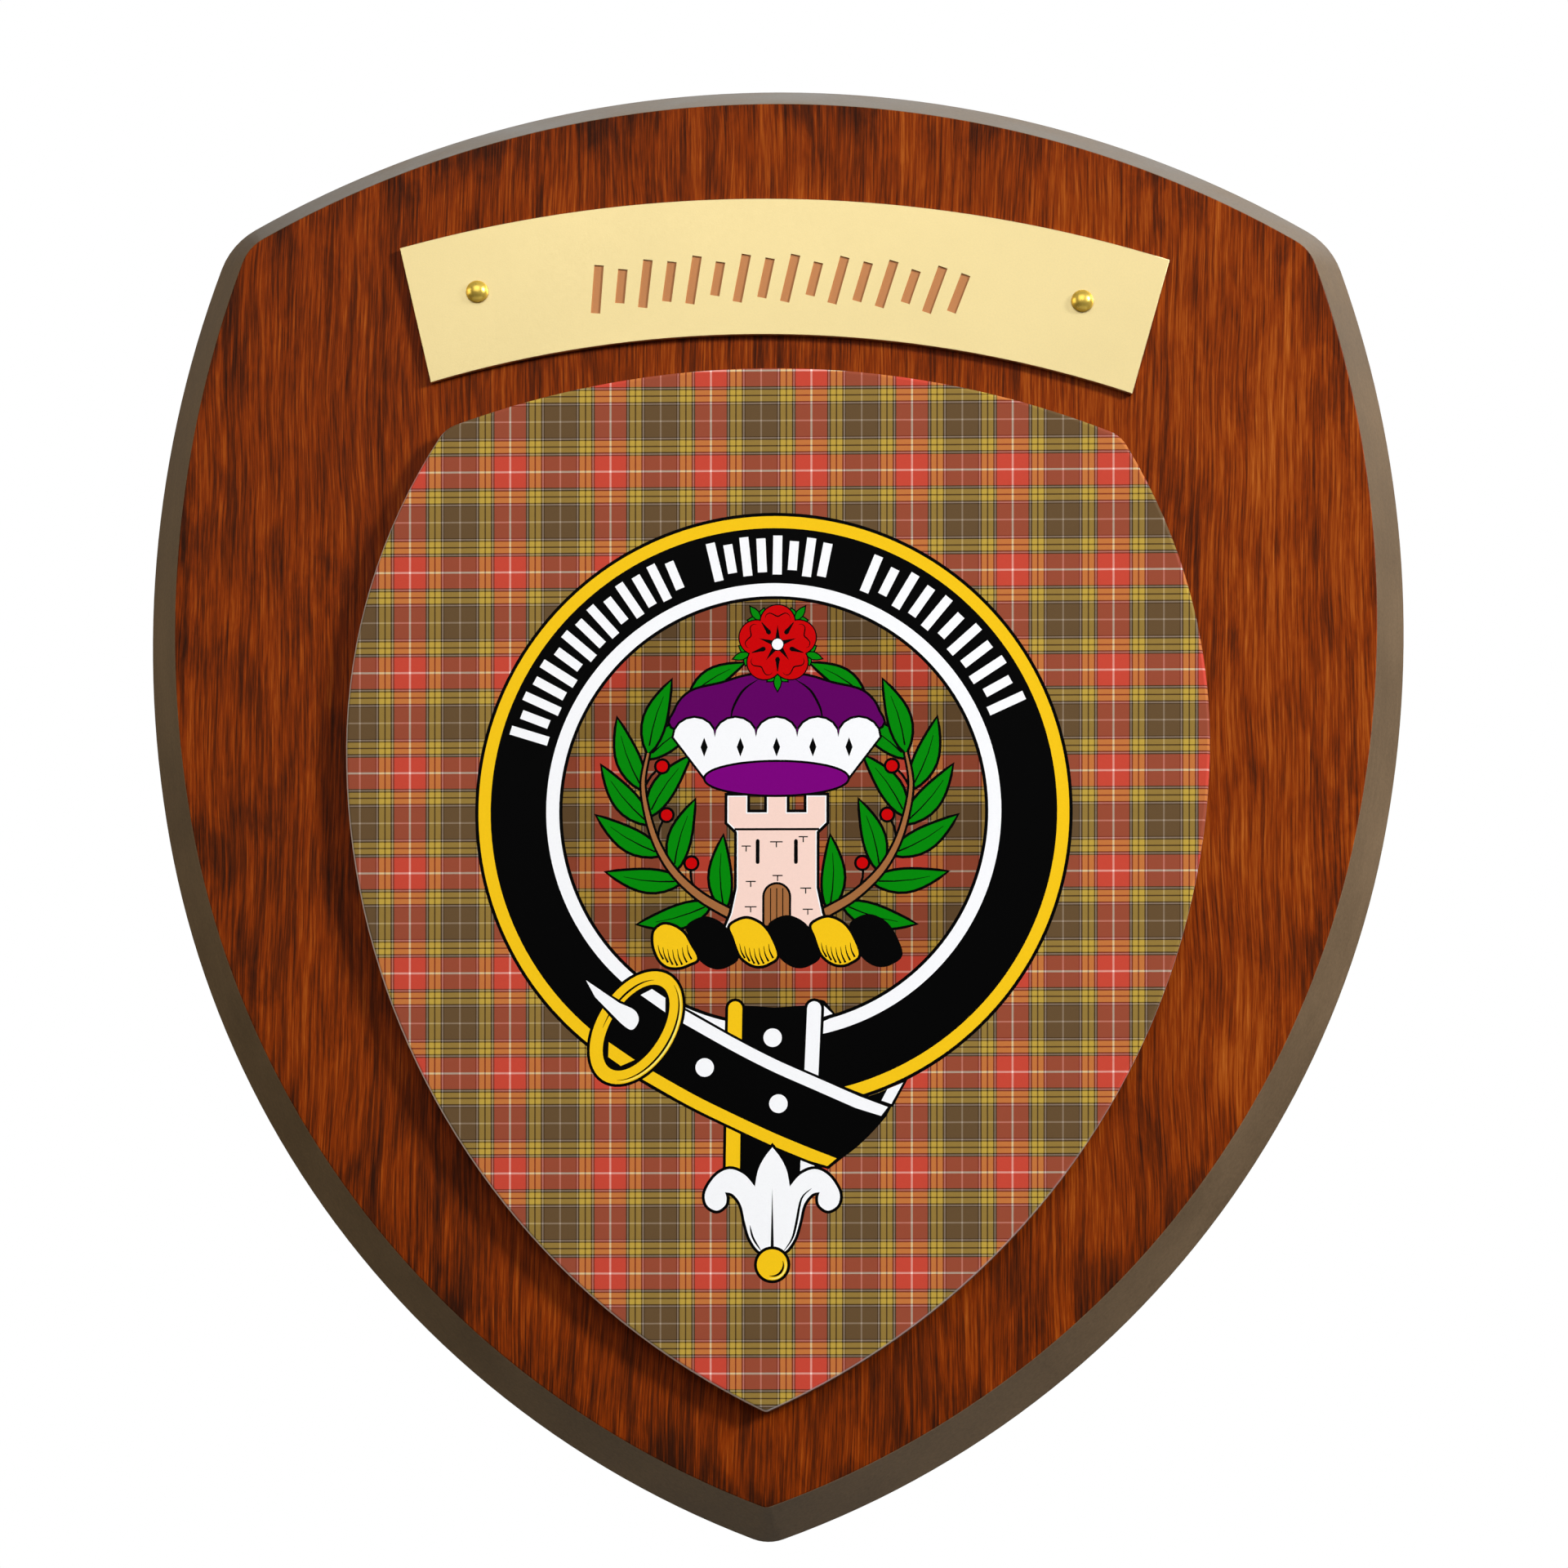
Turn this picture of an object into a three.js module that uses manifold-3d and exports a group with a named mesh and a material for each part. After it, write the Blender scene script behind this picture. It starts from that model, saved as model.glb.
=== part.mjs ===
// Wooden heraldic shield plaque that hangs flat against a wall.
// Millimetres, +Z up, the front faces -Y, and the origin is the middle of the back.
import * as THREE from 'three';
import { mergeVertices } from 'three/addons/utils/BufferGeometryUtils.js';
import Module from 'manifold-3d';

// Backboard: outline of its back face, then its thickness and the slope of its edge.
const boardHalfWidth = 152.4;
const boardCrownToWidest = 133.45;
const boardCrownRadius = 256.2;
const boardUpperRadius = 272.3;
const boardLowerRadius = 225.9;
const boardBlendAngle = 0.2;
const boardCornerRadius = 18.4;
const boardTipRadius = 10.4;
const boardThickness = 18;
const boardSquareEdge = 1;
const bevelWidth = 7.6;

// Raised shield panel: its own outline, thickness and rounded front edge.
const panelHalfWidth = 103.3;
const panelCrownToWidest = 91;
const panelCrownRadius = 218.3;
const panelUpperRadius = 140.2;
const panelLowerRadius = 176.6;
const panelBlendAngle = 0.02;
const panelCornerRadius = 8;
const panelTipRadius = 1.6;
const panelThickness = 5;
const panelEdgeRadius = 0.8;

// Place of the panel's crown: its offset to the right and its drop below the board's crown.
const panelShift = 1.8;
const panelDrop = 74.7;
const panelTurn = THREE.MathUtils.degToRad(-0.44);

// Curved name plate: two arcs and the half widths at their ends.
const plateUpperRadius = 323.5;
const plateLowerRadius = 278;
const plateUpperHalfWidth = 93.5;
const plateLowerHalfWidth = 84.9;
const plateHeight = 33.8;
const plateThickness = 1.6;

// Place of the plate's crown, like the panel's.
const plateShift = 1.8;
const plateDrop = 31.9;
const plateTurn = THREE.MathUtils.degToRad(-0.8);

// One row of shallow engraved strokes along the plate.
const strokeCount = 16;
const strokeSpan = 88;
const strokeLengths = [12, 8.5, 12, 10];
const strokeWidth = 2.3;
const strokeDepth = 0.4;
const strokeSlant = 0.2;
const strokeRowAboveEdge = 14;
const strokeRowShift = -1.3;

// Dome pins that hold the plate.
const pinSpacing = 146.8;
const pinPairShift = -0.9;
const pinDrop = 24.4;
const pinHeadRadius = 2.75;
const pinHeadHeight = 2;
const pinShankRadius = 0.9;
const pinShankLength = 11;
const pinPointLength = 2;

// Keyhole slot in the back, for the head and shank of a wall screw.
const keyholeDrop = 42;
const keyholeTravel = 15;
const keyholeHeadRadius = 5.2;
const keyholeNeckRadius = 2.6;
const keyholeLip = 3;
const keyholeDepth = 8.4;

// Clearances between pieces.
const seatGap = 0.3;
const shankClearance = 0.3;

// How finely curves are drawn.
const outlineStep = 5;
const fewestArcSteps = 6;
const roundSegments = 28;
const edgeSegments = 3;
const domeSteps = 7;
const weldTolerance = 1e-5;

const manifold = await Module();
manifold.setup();

// Solids and geometries

function toSolid(geometry) {
  const bare = geometry.clone();
  bare.deleteAttribute('normal');
  bare.deleteAttribute('uv');
  const welded = mergeVertices(bare, weldTolerance);
  return new manifold.Manifold(new manifold.Mesh({
    numProp: 3,
    vertProperties: Float32Array.from(welded.attributes.position.array),
    triVerts: Uint32Array.from(welded.index.array),
  }));
}

function toGeometry(solid) {
  const mesh = solid.getMesh();
  const geometry = new THREE.BufferGeometry();
  geometry.setAttribute('position', new THREE.BufferAttribute(mesh.vertProperties, 3));
  geometry.setIndex(new THREE.BufferAttribute(mesh.triVerts, 1));
  return geometry;
}

function extrude(points, from, to) {
  const shape = new THREE.Shape(points);
  const geometry = new THREE.ExtrudeGeometry(shape, { depth: to - from, bevelEnabled: false });
  return toSolid(geometry.translate(0, 0, from));
}

function roundBar(centre, radius, from, to) {
  const geometry = new THREE.CylinderGeometry(radius, radius, to - from, roundSegments);
  geometry.rotateX(Math.PI / 2);
  return toSolid(geometry.translate(centre.x, centre.y, (from + to) / 2));
}

// A slab whose front edge is drawn in by `inset` over `slope`, and whose back is flat at z = 0.
function slabWithFrontEdge(points, thickness, inset, slope, segments) {
  const bothEdges = new THREE.ExtrudeGeometry(new THREE.Shape(points), {
    depth: thickness - slope,
    bevelThickness: slope,
    bevelSize: inset,
    bevelOffset: -inset,
    bevelSegments: segments,
  });
  const box = new THREE.Box2().setFromPoints(points);
  const size = box.getSize(new THREE.Vector2());
  const centre = box.getCenter(new THREE.Vector2());
  const behind = new THREE.BoxGeometry(2 * size.x, 2 * size.y, 2 * slope);
  behind.translate(centre.x, centre.y, -slope);
  return toSolid(bothEdges).subtract(toSolid(behind));
}

// Outlines, drawn as seen from the front with the crown at the origin

function arcPoints(centre, radius, from, to) {
  const sweep = THREE.MathUtils.euclideanModulo(from - to, 2 * Math.PI);
  const steps = Math.max(fewestArcSteps, Math.ceil((radius * sweep) / outlineStep));
  const arc = new THREE.ArcCurve(centre.x, centre.y, radius, from, to, true);
  return arc.getPoints(steps).slice(0, -1);
}

function pointAt(centre, radius, angle) {
  return new THREE.Vector2(radius, 0).rotateAround(new THREE.Vector2(), angle).add(centre);
}

function angleFrom(centre, point) {
  return Math.atan2(point.y - centre.y, point.x - centre.x);
}

// The right-hand point at the given distances from two centres.
function filletCentre(first, firstDistance, second, secondDistance) {
  const apart = first.distanceTo(second);
  const along = (firstDistance ** 2 - secondDistance ** 2 + apart ** 2) / (2 * apart);
  const across = Math.sqrt(firstDistance ** 2 - along ** 2);
  const direction = second.clone().sub(first).divideScalar(apart);
  const foot = first.clone().addScaledVector(direction, along);
  const side = new THREE.Vector2(direction.y, -direction.x).multiplyScalar(across);
  const choices = [foot.clone().add(side), foot.clone().sub(side)];
  return choices[0].x > choices[1].x ? choices[0] : choices[1];
}

// A heater shield: a crown arc, rounded corners, two side arcs and a rounded tip.
function shieldPoints(s) {
  const crown = new THREE.Vector2(0, -s.crownRadius);
  const upper = new THREE.Vector2(s.halfWidth - s.upperRadius, -s.crownToWidest);
  const lower = pointAt(upper, s.upperRadius - s.lowerRadius, -s.blendAngle);
  const crownReach = s.crownRadius - s.cornerRadius;
  const corner = filletCentre(crown, crownReach, upper, s.upperRadius - s.cornerRadius);
  const tipReach = s.lowerRadius - s.tipRadius;
  const tip = new THREE.Vector2(0, lower.y - Math.sqrt(tipReach ** 2 - lower.x ** 2));
  const cornerStart = angleFrom(crown, corner);
  const cornerEnd = angleFrom(upper, corner);
  const tipStart = angleFrom(lower, tip);
  const mirrored = (point) => new THREE.Vector2(-point.x, point.y);
  return [
    ...arcPoints(crown, s.crownRadius, Math.PI / 2, cornerStart),
    ...arcPoints(corner, s.cornerRadius, cornerStart, cornerEnd),
    ...arcPoints(upper, s.upperRadius, cornerEnd, -s.blendAngle),
    ...arcPoints(lower, s.lowerRadius, -s.blendAngle, tipStart),
    ...arcPoints(tip, s.tipRadius, tipStart, -Math.PI - tipStart),
    ...arcPoints(mirrored(lower), s.lowerRadius, -Math.PI - tipStart, s.blendAngle - Math.PI),
    ...arcPoints(mirrored(upper), s.upperRadius, s.blendAngle - Math.PI, -Math.PI - cornerEnd),
    ...arcPoints(mirrored(corner), s.cornerRadius, -Math.PI - cornerEnd, -Math.PI - cornerStart),
    ...arcPoints(crown, s.crownRadius, -Math.PI - cornerStart, -1.5 * Math.PI),
  ];
}

// The plate lies between two arcs, both humped upwards, with slanted straight ends.
function platePoints() {
  const upper = new THREE.Vector2(0, -plateUpperRadius);
  const lower = new THREE.Vector2(0, -plateHeight - plateLowerRadius);
  const upperAngle = Math.acos(plateUpperHalfWidth / plateUpperRadius);
  const lowerAngle = Math.acos(plateLowerHalfWidth / plateLowerRadius);
  const lowerEdge = arcPoints(lower, plateLowerRadius, Math.PI - lowerAngle, lowerAngle);
  return [
    ...arcPoints(upper, plateUpperRadius, Math.PI - upperAngle, upperAngle),
    pointAt(upper, plateUpperRadius, upperAngle),
    pointAt(lower, plateLowerRadius, lowerAngle),
    ...lowerEdge.reverse(),
  ];
}

// A slot with round ends that runs up from the origin.
function slotPoints(radius, length) {
  const half = roundSegments / 2;
  return [
    ...new THREE.ArcCurve(0, length, radius, Math.PI, 0, true).getPoints(half),
    ...new THREE.ArcCurve(0, 0, radius, 0, -Math.PI, true).getPoints(half),
  ];
}

// Places shared by the pieces

const boardPoints = shieldPoints({
  halfWidth: boardHalfWidth,
  crownToWidest: boardCrownToWidest,
  crownRadius: boardCrownRadius,
  upperRadius: boardUpperRadius,
  lowerRadius: boardLowerRadius,
  blendAngle: boardBlendAngle,
  cornerRadius: boardCornerRadius,
  tipRadius: boardTipRadius,
});
const boardBox = new THREE.Box2().setFromPoints(boardPoints);
const crownHeight = (boardBox.max.y - boardBox.min.y) / 2;
const frontFace = boardThickness + seatGap;
const pinPlaces = {
  pin_left: new THREE.Vector2(pinPairShift - pinSpacing / 2, -pinDrop),
  pin_right: new THREE.Vector2(pinPairShift + pinSpacing / 2, -pinDrop),
};

function onBoard(point) {
  return point.clone().rotateAround(new THREE.Vector2(), plateTurn)
    .add(new THREE.Vector2(plateShift, -plateDrop));
}

// Materials

const mahogany = new THREE.MeshStandardMaterial({ color: 0x7d3210, roughness: 0.45, metalness: 0 });
const printed = new THREE.MeshStandardMaterial({ color: 0xa8763a, roughness: 0.35, metalness: 0 });
const satinBrass = new THREE.MeshStandardMaterial({ color: 0xf0dd92, roughness: 0.4, metalness: 0.9 });
const polishedBrass = new THREE.MeshStandardMaterial({ color: 0xd8aa28, roughness: 0.15, metalness: 1 });

// Pieces

function keyholeCutter() {
  const entry = roundBar(new THREE.Vector2(), keyholeHeadRadius, -keyholeLip, keyholeDepth);
  const neck = extrude(slotPoints(keyholeNeckRadius, keyholeTravel), -keyholeLip, keyholeDepth);
  const pocket = extrude(slotPoints(keyholeHeadRadius, keyholeTravel), keyholeLip, keyholeDepth);
  return entry.add(neck).add(pocket).translate([0, -keyholeDrop - keyholeTravel, 0]);
}

function pinBore(place) {
  const shankEnd = frontFace + plateThickness + seatGap - pinShankLength;
  const radius = pinShankRadius + shankClearance;
  return roundBar(onBoard(place), radius, shankEnd - shankClearance, 2 * boardThickness);
}

function buildBoard() {
  let solid = slabWithFrontEdge(
    boardPoints, boardThickness, bevelWidth, boardThickness - boardSquareEdge, 1,
  );
  solid = solid.subtract(keyholeCutter());
  for (const place of Object.values(pinPlaces)) {
    solid = solid.subtract(pinBore(place));
  }
  const mesh = new THREE.Mesh(toGeometry(solid), mahogany);
  mesh.name = 'board';
  return mesh;
}

function buildPanel() {
  const points = shieldPoints({
    halfWidth: panelHalfWidth,
    crownToWidest: panelCrownToWidest,
    crownRadius: panelCrownRadius,
    upperRadius: panelUpperRadius,
    lowerRadius: panelLowerRadius,
    blendAngle: panelBlendAngle,
    cornerRadius: panelCornerRadius,
    tipRadius: panelTipRadius,
  });
  const solid = slabWithFrontEdge(
    points, panelThickness, panelEdgeRadius, panelEdgeRadius, edgeSegments,
  );
  const mesh = new THREE.Mesh(toGeometry(solid), printed);
  mesh.name = 'panel';
  mesh.position.set(panelShift, -panelDrop, frontFace);
  mesh.rotation.z = panelTurn;
  return mesh;
}

function strokeRow() {
  const rowRadius = plateLowerRadius + strokeRowAboveEdge;
  const centreHeight = -plateHeight - plateLowerRadius;
  const strokes = [];
  for (let i = 0; i < strokeCount; i += 1) {
    const along = strokeRowShift + strokeSpan * (i / (strokeCount - 1) - 0.5);
    const angle = along / rowRadius;
    const stroke = new THREE.BoxGeometry(
      strokeWidth, strokeLengths[i % strokeLengths.length], 2 * strokeDepth,
    );
    stroke.rotateZ(-angle - strokeSlant);
    stroke.translate(
      rowRadius * Math.sin(angle), centreHeight + rowRadius * Math.cos(angle), plateThickness,
    );
    strokes.push(toSolid(stroke));
  }
  return manifold.Manifold.union(strokes);
}

function buildPlate() {
  let solid = extrude(platePoints(), 0, plateThickness).subtract(strokeRow());
  for (const place of Object.values(pinPlaces)) {
    const radius = pinShankRadius + shankClearance;
    solid = solid.subtract(roundBar(place, radius, -plateThickness, 2 * plateThickness));
  }
  const mesh = new THREE.Mesh(toGeometry(solid), satinBrass);
  mesh.name = 'name_plate';
  return mesh;
}

// The profile runs from the point of the shank up to the top of the dome.
function buildPin(name, place) {
  const profile = [
    new THREE.Vector2(0, -pinShankLength),
    new THREE.Vector2(pinShankRadius, pinPointLength - pinShankLength),
    new THREE.Vector2(pinShankRadius, 0),
  ];
  for (let i = 0; i <= domeSteps; i += 1) {
    const angle = (i / domeSteps) * Math.PI / 2;
    const across = i === domeSteps ? 0 : pinHeadRadius * Math.cos(angle);
    profile.push(new THREE.Vector2(across, pinHeadHeight * Math.sin(angle)));
  }
  const geometry = new THREE.LatheGeometry(profile, roundSegments);
  geometry.rotateX(Math.PI / 2);
  const mesh = new THREE.Mesh(toGeometry(toSolid(geometry)), polishedBrass);
  mesh.name = name;
  mesh.position.set(place.x, place.y, plateThickness + seatGap);
  return mesh;
}

function buildPlateGroup() {
  const group = new THREE.Group();
  group.add(buildPlate());
  for (const [name, place] of Object.entries(pinPlaces)) {
    group.add(buildPin(name, place));
  }
  group.position.set(plateShift, -plateDrop, frontFace);
  group.rotation.z = plateTurn;
  return group;
}

// Everything is drawn lying down as seen from the front, then stood up against the wall.
const plaque = new THREE.Group();
plaque.add(buildBoard(), buildPanel(), buildPlateGroup());
plaque.rotation.x = Math.PI / 2;
plaque.position.z = crownHeight;

export default plaque;
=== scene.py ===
"""Looks of a wooden heraldic shield plaque: mahogany board, printed shield panel, brass plate and pins.

The artwork is drawn in millimetres, x to the right and y up, with its origin at the middle of the strap ring.
Everything in Blender is in metres, +Z up, and the front of the plaque faces -Y.
"""

import logging
import math
from collections import Counter
from collections.abc import Callable, Sequence
from dataclasses import dataclass, field
from enum import Enum
from itertools import accumulate
from typing import Protocol

import bpy
from mathutils import Color, Matrix, Vector
from mathutils.geometry import delaunay_2d_cdt


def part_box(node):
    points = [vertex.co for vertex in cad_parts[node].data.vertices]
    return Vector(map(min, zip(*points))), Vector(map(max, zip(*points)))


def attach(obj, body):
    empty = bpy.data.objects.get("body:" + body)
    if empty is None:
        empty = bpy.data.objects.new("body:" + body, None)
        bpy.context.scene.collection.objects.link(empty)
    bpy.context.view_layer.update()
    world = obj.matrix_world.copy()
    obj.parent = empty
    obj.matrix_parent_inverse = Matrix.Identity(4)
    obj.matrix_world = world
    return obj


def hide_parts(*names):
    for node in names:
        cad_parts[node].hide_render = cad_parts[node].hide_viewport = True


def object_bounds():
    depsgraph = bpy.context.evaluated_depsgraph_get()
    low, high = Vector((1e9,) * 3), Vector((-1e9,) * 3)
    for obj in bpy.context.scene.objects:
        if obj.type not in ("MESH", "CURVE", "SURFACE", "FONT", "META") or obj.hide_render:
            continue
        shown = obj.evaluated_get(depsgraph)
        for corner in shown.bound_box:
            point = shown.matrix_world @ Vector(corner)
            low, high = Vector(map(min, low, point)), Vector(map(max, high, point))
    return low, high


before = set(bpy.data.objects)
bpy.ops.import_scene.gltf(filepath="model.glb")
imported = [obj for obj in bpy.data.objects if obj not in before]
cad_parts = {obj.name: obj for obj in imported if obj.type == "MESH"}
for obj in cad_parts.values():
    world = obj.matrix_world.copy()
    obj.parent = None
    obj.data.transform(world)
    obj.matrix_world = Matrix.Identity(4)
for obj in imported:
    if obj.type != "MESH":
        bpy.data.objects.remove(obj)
cad_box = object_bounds()

MM = 0.001
NEAR = 0.01 * MM
Point = tuple[float, float]
Points = Sequence[Point]
Outline = list[Point]
Span = tuple[float, float]
Spot = tuple[float, float, float]
Tone = tuple[int, int, int]
Socket = bpy.types.NodeSocket
Feed = Socket | float | Sequence[float]


def display_to_linear(red: float, green: float, blue: float) -> tuple[float, float, float]:
    """Turns a colour as a screen shows it, 0 to 255, into the linear one that shaders use.

    Args:
        red: Red, 0 to 255.
        green: Green, 0 to 255.
        blue: Blue, 0 to 255.

    Returns:
        The linear colour, 0 to 1.
    """
    return tuple(Color((red / 255, green / 255, blue / 255)).from_srgb_to_scene_linear())


def held(value: float) -> float:
    """Holds a number between 0 and 1."""
    return min(max(value, 0.0), 1.0)


# Flat outlines


def circle(centre: Point, radius: float, steps: int) -> Outline:
    """Lays points round a circle.

    Args:
        centre: Middle of the circle.
        radius: Its radius.
        steps: Number of points.

    Returns:
        The circle, counter-clockwise.
    """
    return oval(centre, radius, radius, 0, steps)


def oval(centre: Point, half_length: float, half_width: float, tilt: float, steps: int) -> Outline:
    """Lays points round a tilted ellipse.

    Args:
        centre: Middle of the ellipse.
        half_length: Half of its long axis.
        half_width: Half of its short axis.
        tilt: Turn of the long axis from the x axis, in degrees.
        steps: Number of points.

    Returns:
        The ellipse, counter-clockwise.
    """
    return [on_oval(centre, half_length, half_width, tilt, 360 * step / steps) for step in range(steps)]


def on_oval(centre: Point, half_length: float, half_width: float, tilt: float, turn: float) -> Point:
    """Finds the point of a tilted ellipse at a turn from its long axis.

    Args:
        centre: Middle of the ellipse.
        half_length: Half of its long axis.
        half_width: Half of its short axis.
        tilt: Turn of the long axis from the x axis, in degrees.
        turn: Turn of the point from the long axis, in degrees.

    Returns:
        The point.
    """
    along = half_length * math.cos(math.radians(turn))
    across = half_width * math.sin(math.radians(turn))
    lean = math.radians(tilt)
    return (
        centre[0] + along * math.cos(lean) - across * math.sin(lean),
        centre[1] + along * math.sin(lean) + across * math.cos(lean),
    )


def on_circle(centre: Point, radius: float, turn: float) -> Point:
    """Finds the point of a circle at a turn from the x axis, in degrees."""
    return on_oval(centre, radius, radius, 0, turn)


def arc(centre: Point, radius: float, start: float, end: float, steps: int = 24) -> Outline:
    """Lays points along a circular arc, both ends included, between two directions in degrees."""
    turns = [start + (end - start) * step / steps for step in range(steps + 1)]
    return [on_circle(centre, radius, turn) for turn in turns]


def smooth(points: Points, closed: bool = False, per_span: int = 5) -> Outline:
    """Runs a soft curve through every given point.

    Args:
        points: Points the curve passes through.
        closed: Whether it runs back to its first point.
        per_span: Steps between two given points.

    Returns:
        The points of the curve.
    """
    count = len(points)
    spans = count if closed else count - 1
    curve: Outline = []
    for span in range(spans):
        if closed:
            near = [points[(span + shift) % count] for shift in (-1, 0, 1, 2)]
        else:
            near = [points[min(max(span + shift, 0), count - 1)] for shift in (-1, 0, 1, 2)]
        for step in range(per_span):
            t = step / per_span
            weights = (
                -t / 2 + t * t - t**3 / 2,
                1 - 2.5 * t * t + 1.5 * t**3,
                t / 2 + 2 * t * t - 1.5 * t**3,
                -t * t / 2 + t**3 / 2,
            )
            curve.append(tuple(sum(w * p[axis] for w, p in zip(weights, near)) for axis in (0, 1)))
    if not closed:
        curve.append(points[-1])
    return curve


def turned(points: Points, angle: float, shift: Point) -> Outline:
    """Turns points about the origin, in degrees, and then shifts them."""
    cosine, sine = math.cos(math.radians(angle)), math.sin(math.radians(angle))
    return [(x * cosine - y * sine + shift[0], x * sine + y * cosine + shift[1]) for x, y in points]


def moved(points: Points, right: float = 0.0, up: float = 0.0) -> Outline:
    """Shifts points."""
    return [(x + right, y + up) for x, y in points]


def mirrored(points: Points, about: float) -> Outline:
    """Mirrors points left to right about an upright line."""
    return [(2 * about - x, y) for x, y in points]


def upside_down(points: Points) -> Outline:
    """Mirrors points about the x axis."""
    return [(x, -y) for x, y in points]


def without_repeats(points: Points) -> Outline:
    """Drops each point that lies on the one before it.

    Args:
        points: Points in order.

    Returns:
        The points that are left.
    """
    apart = 0.01
    pairs = zip(points[1:], points)
    return [points[0], *(point for point, before in pairs if math.dist(point, before) > apart)]


def signed_area(outline: Points) -> float:
    """Gives an outline's area, above zero where it runs counter-clockwise."""
    return sum(a[0] * b[1] - b[0] * a[1] for a, b in zip(outline, [*outline[1:], outline[0]])) / 2


def counter_clockwise(outline: Points) -> Outline:
    """Gives the outline in counter-clockwise order."""
    return list(outline if signed_area(outline) > 0 else outline[::-1])


def normals(points: Points, closed: bool) -> list[Vector]:
    """Finds where each point of a path moves when the path grows by one millimetre to its right.

    Args:
        points: Points of the path.
        closed: Whether the path runs back to its first point.

    Returns:
        One vector for each point, longer at corners so that the sides stay parallel.
    """
    longest = 2.2
    count = len(points)
    sides = []
    for index in range(count if closed else count - 1):
        step = Vector(points[(index + 1) % count]) - Vector(points[index])
        sides.append(Vector((step.y, -step.x)).normalized())
    found = []
    for index in range(count):
        before = sides[index - 1] if closed or index > 0 else sides[0]
        after = sides[index] if index < len(sides) else sides[-1]
        both = before + after
        reach = max(1 + before.dot(after), 2 / longest**2)
        vector = both / reach
        found.append(vector if vector.length <= longest else vector.normalized() * longest)
    return found


def grown(outline: Points, by: float) -> Outline:
    """Moves a closed outline outwards, or inwards for a number below zero.

    Args:
        outline: The closed outline.
        by: How far it moves, in millimetres.

    Returns:
        The new outline, counter-clockwise.
    """
    points = counter_clockwise(outline)
    return [(p[0] + by * n.x, p[1] + by * n.y) for p, n in zip(points, normals(points, True))]


def ribbon(path: Points, width: float, round_ends: bool = False, taper: bool = False,
           far: float = 1.0) -> Outline:
    """Gives an open path a width.

    Args:
        path: Points of the path.
        width: Its full width.
        round_ends: Whether its ends are half circles.
        taper: Whether it thins to a point at both ends.
        far: Width of its far end as a share of the width of its near one.

    Returns:
        The outline of the ribbon.
    """
    blunt, end_steps = 0.04, 8
    half = width / 2
    last = len(path) - 1
    shares = [math.sin(math.pi * (blunt + (1 - 2 * blunt) * i / last)) if taper else 1 + (far - 1) * i / last
              for i in range(last + 1)]
    sides = normals(path, False)
    right = [(p[0] + half * s * n.x, p[1] + half * s * n.y) for p, n, s in zip(path, sides, shares)]
    left = [(p[0] - half * s * n.x, p[1] - half * s * n.y) for p, n, s in zip(path, sides, shares)]
    if not round_ends:
        return right + left[::-1]
    turn = math.degrees(math.atan2(sides[-1].y, sides[-1].x))
    end = arc(path[-1], half, turn, turn + 180, end_steps)[1:-1]
    turn = math.degrees(math.atan2(-sides[0].y, -sides[0].x))
    start = arc(path[0], half, turn, turn + 180, end_steps)[1:-1]
    return right + end + left[::-1] + start


class Ink(Enum):
    """The printer's colours, as a screen shows them. CLOTH and CLOTH_SHADE let the tartan through."""

    COAT = (228, 202, 188)
    CLOTH = (251, 249, 246)
    CLOTH_SHADE = (222, 215, 206)
    BLACK = (2, 2, 2)
    WHITE = (255, 255, 255)
    GOLD = (252, 202, 24)
    LIGHT_GOLD = (255, 240, 120)
    RED = (206, 2, 5)
    GREEN = (2, 138, 8)
    BROWN = (166, 108, 62)
    PURPLE = (99, 0, 99)
    VIOLET = (126, 0, 126)
    STONE = (254, 219, 204)

    @property
    def is_cloth(self) -> bool:
        """Whether the tartan shows in this colour."""
        return self in (Ink.CLOTH, Ink.CLOTH_SHADE)

    @property
    def linear(self) -> tuple[float, float, float, float]:
        """The ink's linear colour with an alpha of one."""
        return (*display_to_linear(*self.value), 1.0)


@dataclass(frozen=True)
class Patch:
    """One flat area of the print in one ink."""

    outline: Points
    ink: Ink


@dataclass
class Drawing:
    """Flat artwork as patches, each lying over the ones before it."""

    edge: float = 0.7
    patches: list[Patch] = field(default_factory=list)

    def fill(self, outline: Points, ink: Ink) -> None:
        """Lays down one area."""
        self.patches.append(Patch(counter_clockwise(outline), ink))

    def edged(self, outline: Points, ink: Ink, edge: float | None = None) -> None:
        """Lays down one area with a black line round it."""
        self.fill(grown(outline, self.edge if edge is None else edge), Ink.BLACK)
        self.fill(outline, ink)

    def line(self, path: Points, width: float, ink: Ink = Ink.BLACK, **ends: float) -> None:
        """Draws a line along a path."""
        self.fill(ribbon(path, width, **ends), ink)


class Motif(Protocol):
    """One sub-design of the print."""

    def draw(self, drawing: Drawing) -> None:
        """Adds the sub-design to the artwork."""


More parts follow.
